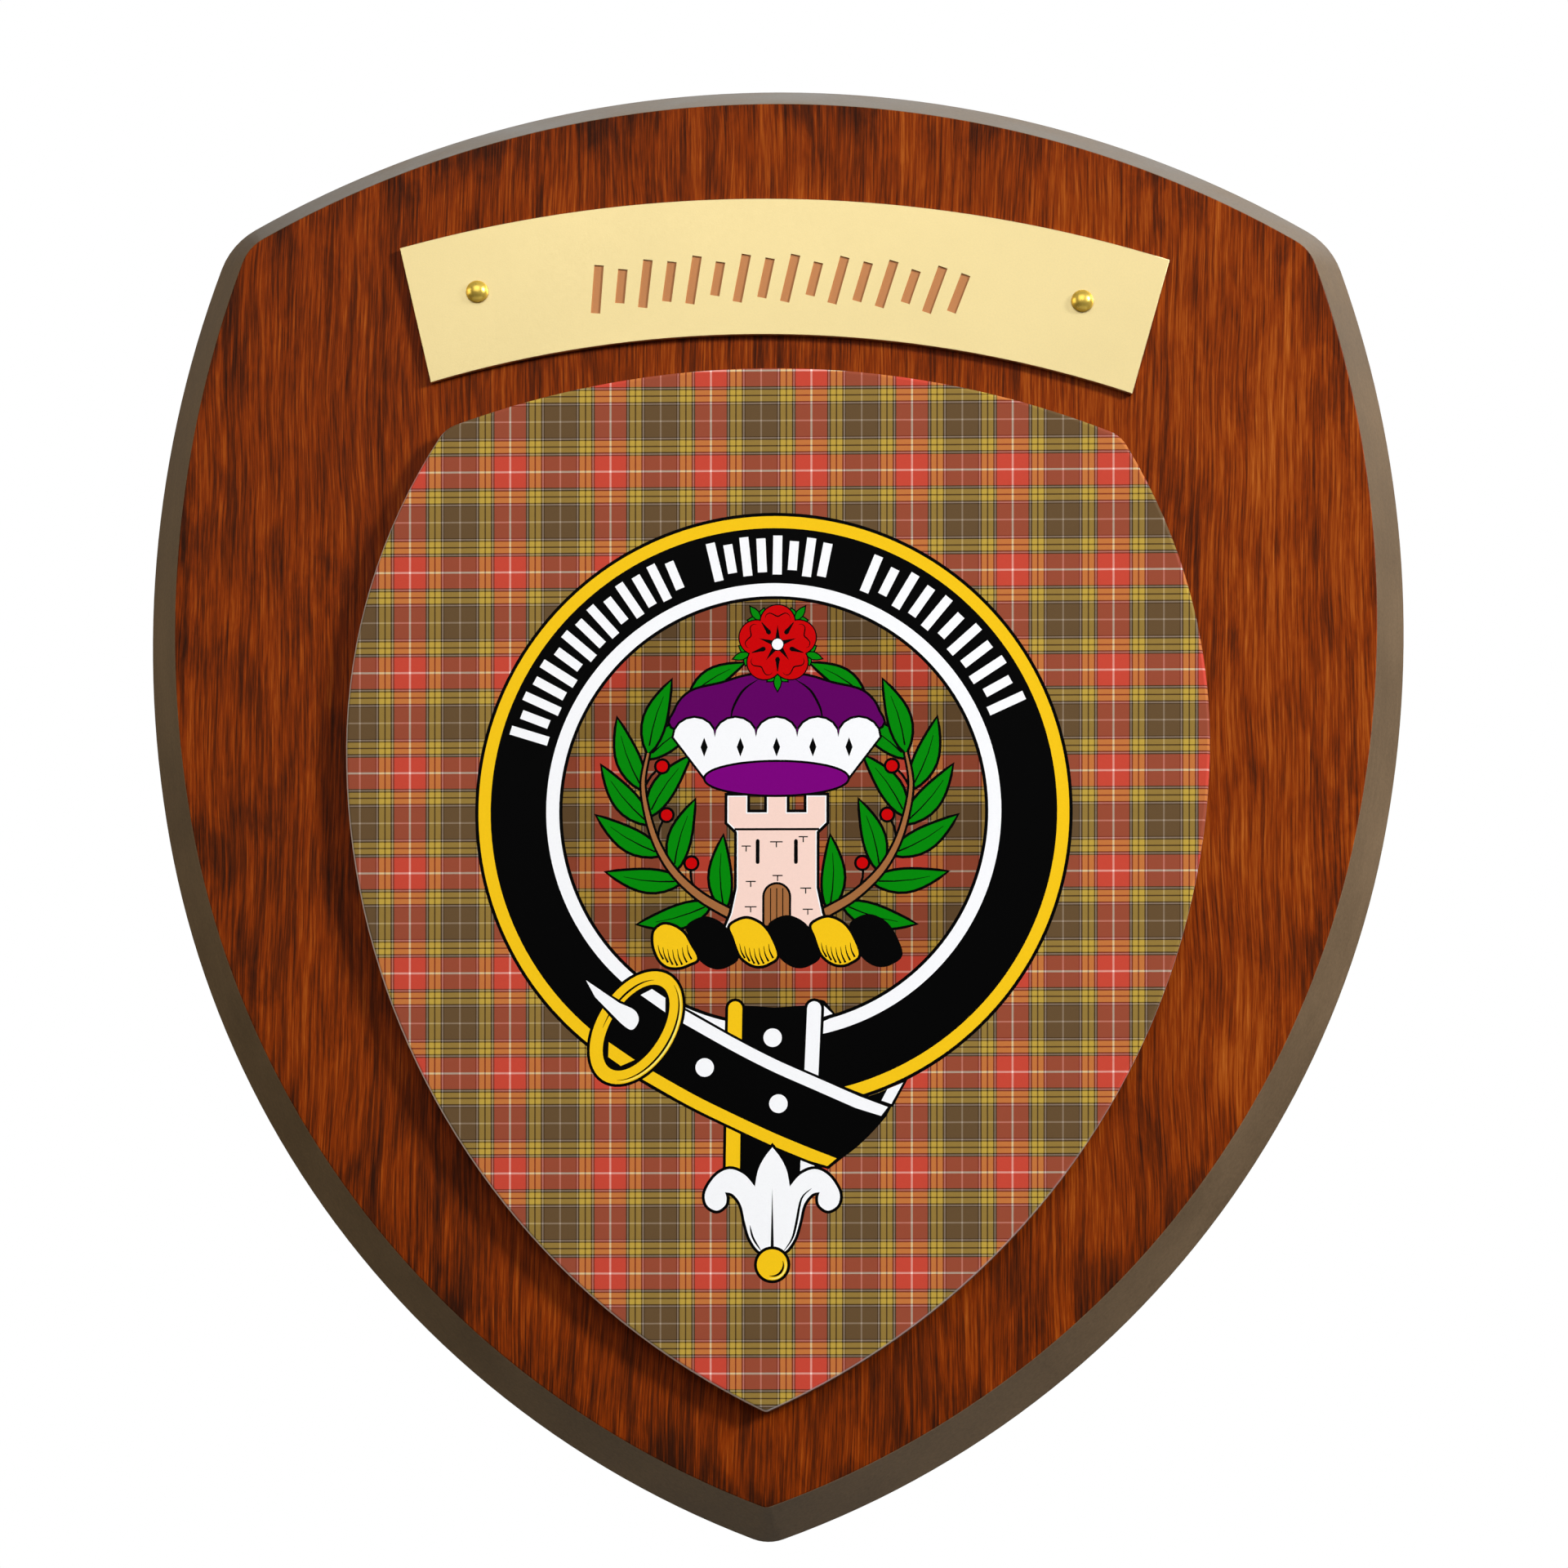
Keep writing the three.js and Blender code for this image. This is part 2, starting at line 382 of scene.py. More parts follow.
@dataclass(frozen=True)
class StrapRing:
    """The round strap with its gold and white borders, and rows of plain strokes along it."""

    outer: float = 71.3
    gold_outer: float = 70.5
    gold_inner: float = 67.6
    white_outer: float = 54.3
    white_inner: float = 51.2
    inner: float = 50.4
    steps: int = 180
    stroke_rows: tuple[tuple[float, float, int], ...] = (
        (163.0, 113.0, 14), (103.5, 78.5, 8), (67.5, 24.5, 11),
    )
    stroke_middle: float = 61.1
    stroke_lengths: tuple[float, ...] = (9.4, 7.0, 9.4, 8.2)
    stroke_width: float = 2.2

    def draw(self, drawing: Drawing) -> None:
        """Draws the ring, the cloth inside it and the strokes.

        Args:
            drawing: Artwork to add to.
        """
        for radius, ink in (
            (self.outer, Ink.BLACK),
            (self.gold_outer, Ink.GOLD),
            (self.gold_inner, Ink.BLACK),
            (self.white_outer, Ink.WHITE),
            (self.white_inner, Ink.BLACK),
            (self.inner, Ink.CLOTH_SHADE),
        ):
            drawing.fill(circle((0, 0), radius, self.steps), ink)
        for start, end, count in self.stroke_rows:
            for index in range(count):
                turn = start + (end - start) * index / (count - 1)
                half = self.stroke_lengths[index % len(self.stroke_lengths)] / 2
                path = [on_circle((0, 0), self.stroke_middle + reach, turn) for reach in (-half, half)]
                drawing.line(path, self.stroke_width, Ink.WHITE)


@dataclass(frozen=True)
class StrapTail:
    """The strap's free end: it leaves the buckle, crosses the ring and hangs down to its tip."""

    band: float = 2.85
    hole: float = 2.2
    hole_steps: int = 24
    cross_upper: Points = (
        (-27.5, -43.8), (-20.8, -46.9), (-10.0, -52.9), (0.0, -58.1), (10.0, -62.5), (19.9, -66.6),
        (28.3, -69.6),
    )
    cross_end: Points = ((26.9, -72.3), (24.2, -75.4), (20.3, -79.2), (16.4, -82.2), (13.2, -84.7))
    cross_lower: Points = (
        (10.0, -84.0), (0.0, -80.0), (-9.8, -75.5), (-19.6, -70.8), (-28.8, -65.8), (-34.5, -62.3),
    )
    white_edge: Points = ((-22.5, -48.2), (-10.0, -55.2), (0.0, -60.3), (10.0, -64.7), (20.1, -69.1))
    white_end: Points = ((27.2, -70.2), (25.6, -72.3))
    gold_edge: Points = ((-30.8, -62.1), (-19.6, -68.4), (-9.8, -73.2), (0.0, -77.7), (9.0, -81.4))
    gold_end: Points = ((15.1, -82.2), (12.9, -84.0))
    holes: Points = ((-16.2, -60.9), (1.3, -69.4))
    loop_hole: Point = (-0.1, -53.9)
    bar_width: float = 3.35
    bar_top: float = -47.0
    bar_foot: float = -88.4
    bar_crown: Points = ((8.0, 0.7), (0.4, 0.2), (-7.0, 0.7))
    gold_bar: Span = (-9.0, -9.5)
    white_bar: Span = (9.75, 8.0)
    side_glimpse: Points = ((12.1, -46.4), (14.1, -48.3), (11.9, -49.0))
    side_back: Points = ((11.0, -44.9), (12.2, -45.2), (15.1, -48.7), (11.0, -50.5))
    fold: Points = ((27.1, -66.0), (30.8, -64.5), (27.9, -69.7), (25.6, -68.8))
    fold_back: Points = (
        (21.6, -68.0), (25.2, -66.8), (28.6, -65.4), (31.9, -63.7), (28.4, -70.2), (22.0, -69.4),
    )

    def draw(self, drawing: Drawing) -> None:
        """Draws the hanging part and then the part that crosses it.

        Args:
            drawing: Artwork to add to.
        """
        drawing.fill(self.side_back, Ink.BLACK)
        drawing.fill(self.side_glimpse, Ink.WHITE)
        self.draw_hanging(drawing)
        drawing.fill(self.fold_back, Ink.BLACK)
        drawing.fill(self.fold, Ink.WHITE)
        drawing.fill(smooth(self.cross_upper) + smooth(self.cross_end) + smooth(self.cross_lower), Ink.BLACK)
        for edge, end, ink in ((self.white_edge, self.white_end, Ink.WHITE),
                               (self.gold_edge, self.gold_end, Ink.GOLD)):
            sides = ribbon(smooth(edge), self.band)
            half = len(sides) // 2
            drawing.fill(sides[:half] + [*end[::-1]] + sides[half:], ink)
        for hole in self.holes:
            drawing.fill(circle(hole, self.hole, self.hole_steps), Ink.WHITE)

    def draw_hanging(self, drawing: Drawing) -> None:
        """Draws the hanging part with its gold and white borders and its hole.

        Args:
            drawing: Artwork to add to.
        """
        bars = [([(top, self.bar_top), (foot, self.bar_foot)], ink)
                for (top, foot), ink in ((self.gold_bar, Ink.GOLD), (self.white_bar, Ink.WHITE))]
        for path, _ in bars:
            drawing.line(path, self.bar_width + 2 * drawing.edge, Ink.BLACK, round_ends=True)
        (gold, _), (white, _) = bars
        drawing.fill([*gold, *white[::-1], *moved(self.bar_crown, up=self.bar_top)], Ink.BLACK)
        for path, ink in bars:
            drawing.line(path, self.bar_width, ink, round_ends=True)
        drawing.fill(circle(self.loop_hole, self.hole, self.hole_steps), Ink.WHITE)


@dataclass(frozen=True)
class Buckle:
    """The gold oval buckle and its white tongue."""

    centre: Point = (-32.5, -51.5)
    half_length: float = 14.6
    half_width: float = 9.2
    tilt: float = 57.6
    band: float = 3.2
    steps: int = 56
    mark_steps: int = 20
    shades: tuple[tuple[float, float, float], ...] = ((2.1, 20, 110), (0.9, 200, 345))
    shade_width: float = 0.5
    shine: tuple[float, float, float] = (0.45, 205, 340)
    shine_width: float = 0.4
    white_glimpse: Points = ((-31.5, -43.8), (-28.8, -42.4), (-25.6, -44.5), (-25.6, -47.9))
    gold_glimpse: Points = ((-39.0, -54.9), (-32.8, -59.1), (-36.1, -60.5), (-39.1, -58.4))
    tongue: Points = (
        (-36.5, -45.7), (-32.9, -47.4), (-31.9, -49.8), (-33.4, -52.0), (-35.6, -50.9), (-38.9, -47.7),
        (-42.3, -44.3),
    )
    tongue_point: Point = (-44.5, -40.3)
    tongue_edge: float = 0.6
    tongue_shade: Points = ((-34.6, -52.2), (-38.2, -49.2), (-41.9, -44.9))
    tongue_shade_width: float = 0.35

    def ring(self, inset: float) -> Outline:
        """Gives the buckle's oval, inset from its outer edge."""
        return oval(self.centre, self.half_length - inset, self.half_width - inset, self.tilt, self.steps)

    def mark(self, inset: float, start: float, end: float) -> Outline:
        """Runs along a part of the oval.

        Args:
            inset: Distance inwards from the outer edge.
            start: First turn from the long axis, in degrees.
            end: Last turn, in degrees.

        Returns:
            The points, both ends included.
        """
        length, width = self.half_length - inset, self.half_width - inset
        turns = [start + (end - start) * step / self.mark_steps for step in range(self.mark_steps + 1)]
        return [on_oval(self.centre, length, width, self.tilt, turn) for turn in turns]

    def draw(self, drawing: Drawing) -> None:
        """Draws the buckle, the strap seen through it and the tongue.

        Args:
            drawing: Artwork to add to.
        """
        drawing.edged(self.ring(0), Ink.GOLD)
        for shade in self.shades:
            drawing.line(self.mark(*shade), self.shade_width, taper=True)
        drawing.line(self.mark(*self.shine), self.shine_width, Ink.LIGHT_GOLD, taper=True)
        drawing.fill(self.ring(self.band), Ink.BLACK)
        drawing.fill(self.white_glimpse, Ink.WHITE)
        drawing.fill(self.gold_glimpse, Ink.GOLD)
        drawing.edged([self.tongue_point, *smooth(self.tongue)], Ink.WHITE, self.tongue_edge)
        drawing.line(smooth(self.tongue_shade), self.tongue_shade_width, taper=True)


@dataclass(frozen=True)
class StrapTip:
    """The white metal tip of the strap: three petals over a gold ball."""

    middle: float = -0.1
    spike: Points = ((0.0, -79.6), (-1.9, -82.0), (-3.4, -85.0), (-4.1, -88.6))
    petal: Points = (
        (-4.1, -88.8), (-6.6, -86.0), (-10.1, -84.7), (-13.4, -86.3), (-15.8, -90.0), (-15.5, -93.0),
        (-13.2, -94.4), (-11.2, -93.2), (-10.8, -91.5), (-11.2, -90.1),
    )
    flank: Points = (
        (-11.2, -90.1), (-9.3, -90.6), (-7.4, -93.1), (-6.4, -97.2), (-5.2, -101.0), (-3.0, -103.9),
        (0.0, -104.5),
    )
    spine: Points = ((0.0, -89.0), (-0.4, -103.8), (0.4, -103.8))
    creases: tuple[tuple[float, Points], ...] = (
        (0.5, ((-5.4, -97.8), (-4.6, -100.8), (-2.7, -103.8))),
        (0.6, ((9.2, -89.2), (6.8, -91.6), (5.6, -97.2), (4.6, -100.9), (2.6, -103.9))),
    )
    ball: Point = (-0.1, -107.0)
    ball_radius: float = 3.6
    ball_steps: int = 32
    ball_marks: tuple[tuple[float, float, Ink], ...] = ((0.35, 0.4, Ink.LIGHT_GOLD), (0.95, 0.55, Ink.BLACK))
    ball_mark_span: Span = (-105, 20)

    def draw(self, drawing: Drawing) -> None:
        """Draws the tip and the ball.

        Args:
            drawing: Artwork to add to.
        """
        half = smooth(self.spike) + smooth(self.petal) + smooth(self.flank)
        half = without_repeats(moved(half, self.middle))
        drawing.edged(half + mirrored(half[1:-1], self.middle)[::-1], Ink.WHITE)
        drawing.fill(moved(self.spine, self.middle), Ink.BLACK)
        for width, crease in self.creases:
            drawing.line(smooth(crease), width, taper=True)
        drawing.edged(circle(self.ball, self.ball_radius, self.ball_steps), Ink.GOLD)
        for inset, width, ink in self.ball_marks:
            path = arc(self.ball, self.ball_radius - inset, *self.ball_mark_span)
            drawing.line(path, width, ink, taper=True)


@dataclass(frozen=True)
class Torse:
    """The twisted wreath bar of gold and black cloth."""

    first: Point = (-23.4, -32.1)
    pitch: Point = (9.7, 0.12)
    count: int = 6
    twist: Points = (
        (-6.3, 4.0), (-4.8, 5.3), (-2.6, 6.0), (-0.5, 5.5), (1.6, 4.1), (3.4, 1.5), (4.9, -2.7),
        (2.8, -4.5), (0.7, -5.1), (-1.4, -4.6), (-3.4, -3.1), (-4.4, -1.3), (-5.4, 1.6),
    )
    end_twist: Points = (
        (-4.7, 3.5), (-2.7, 4.9), (0.0, 4.3), (2.2, 2.6), (3.6, 0.2), (5.3, -3.1), (3.4, -4.3),
        (1.2, -5.1), (-1.4, -5.0), (-3.4, -3.6), (-4.7, -1.0), (-5.1, 1.4),
    )
    black_swell: float = 0.75
    hatches: int = 7
    hatch_foot: Point = (-2.7, -3.3)
    hatch_foot_run: Point = (6.7, -1.5)
    hatch_head: Point = (-4.0, 0.1)
    hatch_head_run: Point = (6.9, -1.1)
    hatch_bend: Point = (-0.25, -0.1)
    hatch_width: float = 0.5
    hatch_far: float = 0.2

    def hatching(self) -> list[Outline]:
        """Gives the fine strokes across one gold twist.

        Returns:
            The strokes, about the twist's own place.
        """
        strokes = []
        for index in range(self.hatches):
            share = index / (self.hatches - 1)
            sag = math.sin(math.pi * share)
            foot, head = [
                (x + run * share, y + dip * sag)
                for (x, y), (run, dip) in (
                    (self.hatch_foot, self.hatch_foot_run), (self.hatch_head, self.hatch_head_run),
                )
            ]
            middle = [((foot[0] + head[0]) / 2, (foot[1] + head[1]) / 2)]
            strokes.append(smooth([foot, *moved(middle, *self.hatch_bend), head], per_span=3))
        return strokes

    def draw(self, drawing: Drawing) -> None:
        """Draws the black twists and then the gold ones.

        Args:
            drawing: Artwork to add to.
        """
        places = [(self.first[0] + self.pitch[0] * k, self.first[1] + self.pitch[1] * k)
                  for k in range(self.count)]
        twists = [moved(smooth(self.twist if k else self.end_twist, closed=True, per_span=4), *place)
                  for k, place in enumerate(places)]
        for twist in twists[1::2]:
            drawing.fill(grown(twist, self.black_swell), Ink.BLACK)
        for place, twist in zip(places[0::2], twists[0::2]):
            drawing.edged(twist, Ink.GOLD)
            for stroke in self.hatching():
                drawing.line(moved(stroke, *place), self.hatch_width, far=self.hatch_far)


@dataclass(frozen=True)
class LaurelBranch:
    """One leafy branch on each side of the tower."""

    middle: float = 0.8
    stem: Points = (
        (-10.4, -24.6), (-17.6, -20.4), (-23.8, -14.6), (-27.8, -8.0), (-30.2, -0.6), (-31.2, 6.6),
        (-30.0, 13.6),
    )
    stem_width: float = 1.9
    stem_far: float = 0.25
    stem_edge: float = 0.6
    stem_edge_far: float = 0.5
    leaf_length: float = 18.0
    leaf_width: float = 5.1
    leaf_steps: int = 9
    leaf_fullness: float = 0.8
    leaf_bow: float = 0.05
    leaf_edge: float = 0.65
    vein: tuple[float, ...] = (0.1, 0.3, 0.54, 0.78)
    vein_width: float = 0.4
    vein_far: float = 0.3
    outer_leaves: int = 5
    outer_span: Span = (0.1, 0.8)
    outer_lean: Span = (46.0, 17.0)
    inner_leaves: int = 4
    inner_span: Span = (0.04, 0.97)
    inner_lean: Span = (-61.0, -42.0)
    inner_size: float = 0.97
    end_lean: float = -6.0
    crown_leaf: Point = (-20.0, 27.4)
    crown_turn: float = 31.0
    crown_size: float = 0.82
    berries: tuple[float, ...] = (0.2, 0.5, 0.8)
    berry_reach: float = 7.2
    berry_lean: float = -42.0
    berry_radius: float = 1.35
    berry_steps: int = 20
    berry_edge: float = 0.6
    stalk_bend: float = 0.55
    stalk_lean: float = 9.0
    stalk_width: float = 0.6

    def leaf(self, base: Point, direction: float, size: float = 1.0) -> tuple[Outline, Outline]:
        """Shapes one pointed leaf.

        Args:
            base: Where its stalk joins the stem.
            direction: Where it points, in degrees.
            size: Its size as a share of a full leaf.

        Returns:
            The leaf's outline and the path of its vein.
        """
        length, width = self.leaf_length * size, self.leaf_width * size
        bow = self.leaf_bow * length
        right, left = [], []
        for step in range(self.leaf_steps + 1):
            t = step / self.leaf_steps
            half = width / 2 * math.sin(math.pi * t**self.leaf_fullness) if 0 < t < 1 else 0
            sway = bow * math.sin(math.pi * t)
            right.append((length * t, sway - half))
            left.append((length * t, sway + half))
        vein = [(length * t, bow * math.sin(math.pi * t)) for t in self.vein]
        return turned(right + left[-2:0:-1], direction, base), turned(vein, direction, base)

    def parts(self) -> tuple[list[tuple[Outline, Outline]], list[tuple[Outline, Point]]]:
        """Places the leaves and berries of the left branch.

        Returns:
            Leaves as outline and vein, and berries as stalk and centre.
        """
        path = smooth(self.stem, per_span=8)
        last = len(path) - 2
        leaves, berries = [], []
        for count, span, lean, size in (
            (self.inner_leaves, self.inner_span, self.inner_lean, self.inner_size),
            (self.outer_leaves, self.outer_span, self.outer_lean, 1.0),
        ):
            for place in range(count):
                along = place / (count - 1)
                index = round(last * (span[0] + (span[1] - span[0]) * along))
                turn = self.heading(path, index) + lean[0] + (lean[1] - lean[0]) * along
                leaves.append(self.leaf(path[index], turn, size))
        leaves.append(self.leaf(path[-1], self.heading(path, last) + self.end_lean))
        leaves.append(self.leaf(self.crown_leaf, self.crown_turn, self.crown_size))
        for share in self.berries:
            index = round(last * share)
            turn = self.heading(path, index) + self.berry_lean
            centre = on_circle(path[index], self.berry_reach, turn)
            bend = on_circle(path[index], self.berry_reach * self.stalk_bend, turn + self.stalk_lean)
            berries.append((smooth([path[index], bend, centre], per_span=3), centre))
        return leaves, berries

    def heading(self, path: Outline, index: int) -> float:
        """Gives the direction of a path after one of its points, in degrees."""
        (x0, y0), (x1, y1) = path[index], path[index + 1]
        return math.degrees(math.atan2(y1 - y0, x1 - x0))

    def placed(self, points: Points, flip: bool) -> Outline:
        """Gives points of the left branch, or their mirror image for the right one."""
        return mirrored(points, self.middle) if flip else list(points)

    def draw(self, drawing: Drawing) -> None:
        """Draws both branches.

        Args:
            drawing: Artwork to add to.
        """
        leaves, berries = self.parts()
        path = smooth(self.stem, per_span=6)
        for flip in (False, True):
            stem = self.placed(path, flip)
            for stalk, _ in berries:
                drawing.line(self.placed(stalk, flip), self.stalk_width)
            for outline, vein in leaves:
                drawing.edged(self.placed(outline, flip), Ink.GREEN, self.leaf_edge)
                drawing.line(self.placed(vein, flip), self.vein_width, far=self.vein_far)
            drawing.line(stem, self.stem_width + 2 * self.stem_edge, far=self.stem_edge_far)
            drawing.line(stem, self.stem_width, Ink.BROWN, far=self.stem_far)
            for _, centre in berries:
                berry = circle(self.placed([centre], flip)[0], self.berry_radius, self.berry_steps)
                drawing.edged(berry, Ink.RED, self.berry_edge)


@dataclass(frozen=True)
class Tower:
    """A plain round stone tower that stands on the torse."""

    middle: float = 0.8
    foot: float = -28.0
    shoulder: float = -4.2
    sill: float = -0.6
    top: float = 3.4
    foot_half_width: float = 12.2
    neck_half_width: float = 9.5
    head_half_width: float = 11.8
    plinth: Point = (1.4, 3.4)
    neck_foot: float = 9.5
    corbel: Point = (1.0, 1.2)
    merlons: int = 3
    cornice: Point = (0.6, -0.4)
    cornice_width: float = 0.55
    door_half_width: float = 2.9
    door_spring: float = -20.6
    door_sill: float = 0.6
    door_edge: float = 0.55
    arch_steps: int = 16
    plank_span: Point = (0.8, 2.0)
    plank_line: float = 0.25
    slit_foot: float = -12.4
    slit_height: float = 5.0
    slit_width: float = 0.9
    slit_place: float = 0.48
    rim: float = 0.28
    courses: tuple[tuple[float, float, float], ...] = (
        (-8.4, -8.6, 2.2), (5.6, -18.6, 2.6), (-7.4, -17.0, 2.4), (-1.0, -15.6, 2.4),
        (-1.6, -7.6, 3.0), (5.2, -6.4, 2.2), (-7.6, -23.0, 2.8), (6.2, -23.6, 2.4),
    )
    joint_drop: float = 1.3
    joint_width: float = 0.28

    def body(self) -> Outline:
        """Gives the tower's outline with its battlements.

        Returns:
            The outline, from the left foot round by the top.
        """
        side = [
            (-self.foot_half_width, self.foot),
            (-self.foot_half_width + self.plinth[0], self.foot + self.plinth[1]),
            (-self.neck_half_width, self.foot + self.neck_foot),
            (-self.neck_half_width, self.shoulder - self.corbel[0]),
            (-self.head_half_width, self.shoulder + self.corbel[1]),
        ]
        crest: Outline = []
        notches = 2 * self.merlons - 1
        width = 2 * self.head_half_width / notches
        for index in range(notches):
            height = self.top if index % 2 == 0 else self.sill
            left = -self.head_half_width + width * index
            crest += [(left, height), (left + width, height)]
        return moved(side + crest + mirrored(side[::-1], 0), self.middle)

    def draw_door(self, drawing: Drawing) -> None:
        """Draws the arched door and its planks.

        Args:
            drawing: Artwork to add to.
        """
        half, sill = self.door_half_width, self.foot + self.door_sill
        arch = arc((self.middle, self.door_spring), half, 0, 180, self.arch_steps)
        door = [(self.middle + half, sill), *arch, (self.middle - half, sill)]
        drawing.edged(door, Ink.BROWN, self.door_edge)
        foot, head = self.foot + self.plank_span[0], self.door_spring + self.plank_span[1]
        for plank in (-1, 0, 1):
            x = self.middle + plank * half / 2
            drawing.line([(x, foot), (x, head)], self.plank_line)

    def draw(self, drawing: Drawing) -> None:
        """Draws the walls, door, arrow slits and a few courses of stone.

        Args:
            drawing: Artwork to add to.
        """
        drawing.edged(self.body(), Ink.WHITE)
        drawing.fill(grown(self.body(), -self.rim), Ink.STONE)
        reach, height = self.neck_half_width + self.cornice[0], self.shoulder + self.cornice[1]
        drawing.line(moved([(-reach, height), (reach, height)], self.middle), self.cornice_width)
        self.draw_door(drawing)
        for side in (-1, 1):
            x = self.middle + side * self.neck_half_width * self.slit_place
            slit = [(x, self.slit_foot), (x, self.slit_foot + self.slit_height)]
            drawing.line(slit, self.slit_width, round_ends=True)
        for x, y, length in self.courses:
            joint = x + length / 2
            for path in ([(x, y), (x + length, y)], [(joint, y), (joint, y - self.joint_drop)]):
                drawing.line(moved(path, self.middle), self.joint_width)


@dataclass(frozen=True)
class VelvetCap:
    """A soft purple cap with a flared white band of round scallops and small dark lozenges."""

    middle: float = 0.7
    cloth: Points = (
        (0.0, 14.0), (-23.4, 19.0), (-24.2, 23.8), (-20.6, 28.2), (-13.2, 30.2), (-5.6, 32.2),
    )
    cloth_edge: float = 0.6
    fold: Points = ((-4.4, 31.2), (-8.0, 28.6), (-10.4, 24.4), (-11.0, 21.0))
    fold_width: float = 0.6
    band_half_top: float = 24.6
    band_half_foot: float = 17.0
    band_top: float = 17.4
    band_edge: float = 0.55
    scallops: int = 5
    scallop_rise: float = 4.6
    scallop_steps: int = 8
    opening_height: float = 7.5
    opening_half_width: float = 17.0
    opening_half_height: float = 3.9
    opening_steps: int = 56
    lozenge: Point = (0.85, 2.3)
    lozenge_height: float = 15.0
    lozenge_spread: float = 0.88

    @property
    def pitch(self) -> float:
        """Width of one scallop."""
        return 2 * self.band_half_top / self.scallops

    @property
    def scallop_middles(self) -> list[float]:
        """Middle of each scallop, from the left."""
        return [-self.band_half_top + self.pitch * (index + 0.5) for index in range(self.scallops)]

    def band(self) -> Outline:
        """Gives the outline of the white band.

        Returns:
            The outline, from its lower left corner round by the scallops.
        """
        outline: Outline = [(-self.band_half_foot, self.opening_height)]
        for centre in self.scallop_middles:
            for step in range(self.scallop_steps + 1):
                turn = 180 * (1 - step / self.scallop_steps)
                outline.append(on_oval((centre, self.band_top), self.pitch / 2, self.scallop_rise, 0, turn))
        outline.append((self.band_half_foot, self.opening_height))
        return moved(without_repeats(outline), self.middle)

    def draw(self, drawing: Drawing) -> None:
        """Draws the folds, the band with its lozenges and the opening below.

        Args:
            drawing: Artwork to add to.
        """
        left = moved(self.cloth, self.middle)
        cloth = smooth(left + mirrored(left[:0:-1], self.middle), closed=True)
        drawing.edged(cloth, Ink.PURPLE, self.cloth_edge)
        fold = smooth(moved(self.fold, self.middle))
        for path in (fold, mirrored(fold, self.middle)):
            drawing.line(path, self.fold_width, taper=True)
        drawing.edged(self.band(), Ink.WHITE, self.band_edge)
        half_width, half_height = self.lozenge
        for centre in self.scallop_middles:
            x, y = self.middle + centre * self.lozenge_spread, self.lozenge_height
            corners = [(x + half_width, y), (x, y + half_height), (x - half_width, y), (x, y - half_height)]
            drawing.fill(corners, Ink.BLACK)
        place = (self.middle, self.opening_height)
        opening = oval(place, self.opening_half_width, self.opening_half_height, 0, self.opening_steps)
        drawing.edged(opening, Ink.VIOLET, self.band_edge)


@dataclass(frozen=True)
class HeraldicRose:
    """A five-petalled red rose with green sepals between its petals."""

    centre: Point = (0.9, 39.6)
    petals: int = 5
    petal_reach: float = 5.3
    petal_radius: float = 4.1
    petal_steps: int = 30
    petal_edge: float = 0.3
    curl: Points = ((6.2, 2.95), (7.0, 2.8), (7.5, 1.95), (7.15, 0.95), (6.7, 0.0))
    curl_width: float = 0.32
    spike: Points = ((1.0, -0.62), (4.7, 0.0), (1.0, 0.62))
    drop: Points = ((3.0, 0.0), (3.2, -0.42), (3.7, -0.58), (4.3, -0.42), (6.5, -0.1))
    sepal_foot: float = 7.0
    sepal_lengths: tuple[tuple[float, float], ...] = ((-52.0, 3.0), (52.0, 3.0), (0.0, 4.1))
    sepal_half_width: float = 0.8
    sepal_edge: float = 0.3
    heart: float = 1.35
    heart_steps: int = 24
    heart_edge: float = 0.25

    def draw_sepals(self, drawing: Drawing, turn: float) -> None:
        """Draws the green blades of one gap between two petals.

        Args:
            drawing: Artwork to add to.
            turn: Direction of the gap, in degrees.
        """
        foot = on_circle(self.centre, self.sepal_foot, turn)
        for lean, length in self.sepal_lengths:
            side = [(length * share, self.sepal_half_width * math.sin(math.pi * share))
                    for share in (0.25, 0.5, 0.75)]
            blade = [(0.0, 0.0), *upside_down(side), (length, 0.0), *side[::-1]]
            drawing.edged(turned(blade, turn + lean, foot), Ink.GREEN, self.sepal_edge)

    def draw(self, drawing: Drawing) -> None:
        """Draws the sepals, the petals with their curled edges and the white middle.

        Args:
            drawing: Artwork to add to.
        """
        turns = [90 + 360 / self.petals * index for index in range(self.petals)]
        gaps = [turn + 180 / self.petals for turn in turns]
        for gap in gaps:
            self.draw_sepals(drawing, gap)
        petals = [circle(on_circle(self.centre, self.petal_reach, turn), self.petal_radius, self.petal_steps)
                  for turn in turns]
        for petal in petals:
            drawing.fill(grown(petal, self.petal_edge), Ink.BLACK)
        for petal in [*petals, circle(self.centre, self.petal_reach, self.petal_steps)]:
            drawing.fill(petal, Ink.RED)
        curl = smooth([*self.curl, *upside_down(self.curl[-2::-1])], per_span=3)
        drop = [*self.drop, *upside_down(self.drop[:0:-1])]
        for turn, gap in zip(turns, gaps):
            drawing.line(turned(curl, turn, self.centre), self.curl_width, taper=True)
            drawing.fill(turned(self.spike, turn, self.centre), Ink.BLACK)
            drawing.fill(turned(drop, gap, self.centre), Ink.BLACK)
        drawing.edged(circle(self.centre, self.heart, self.heart_steps), Ink.WHITE, self.heart_edge)


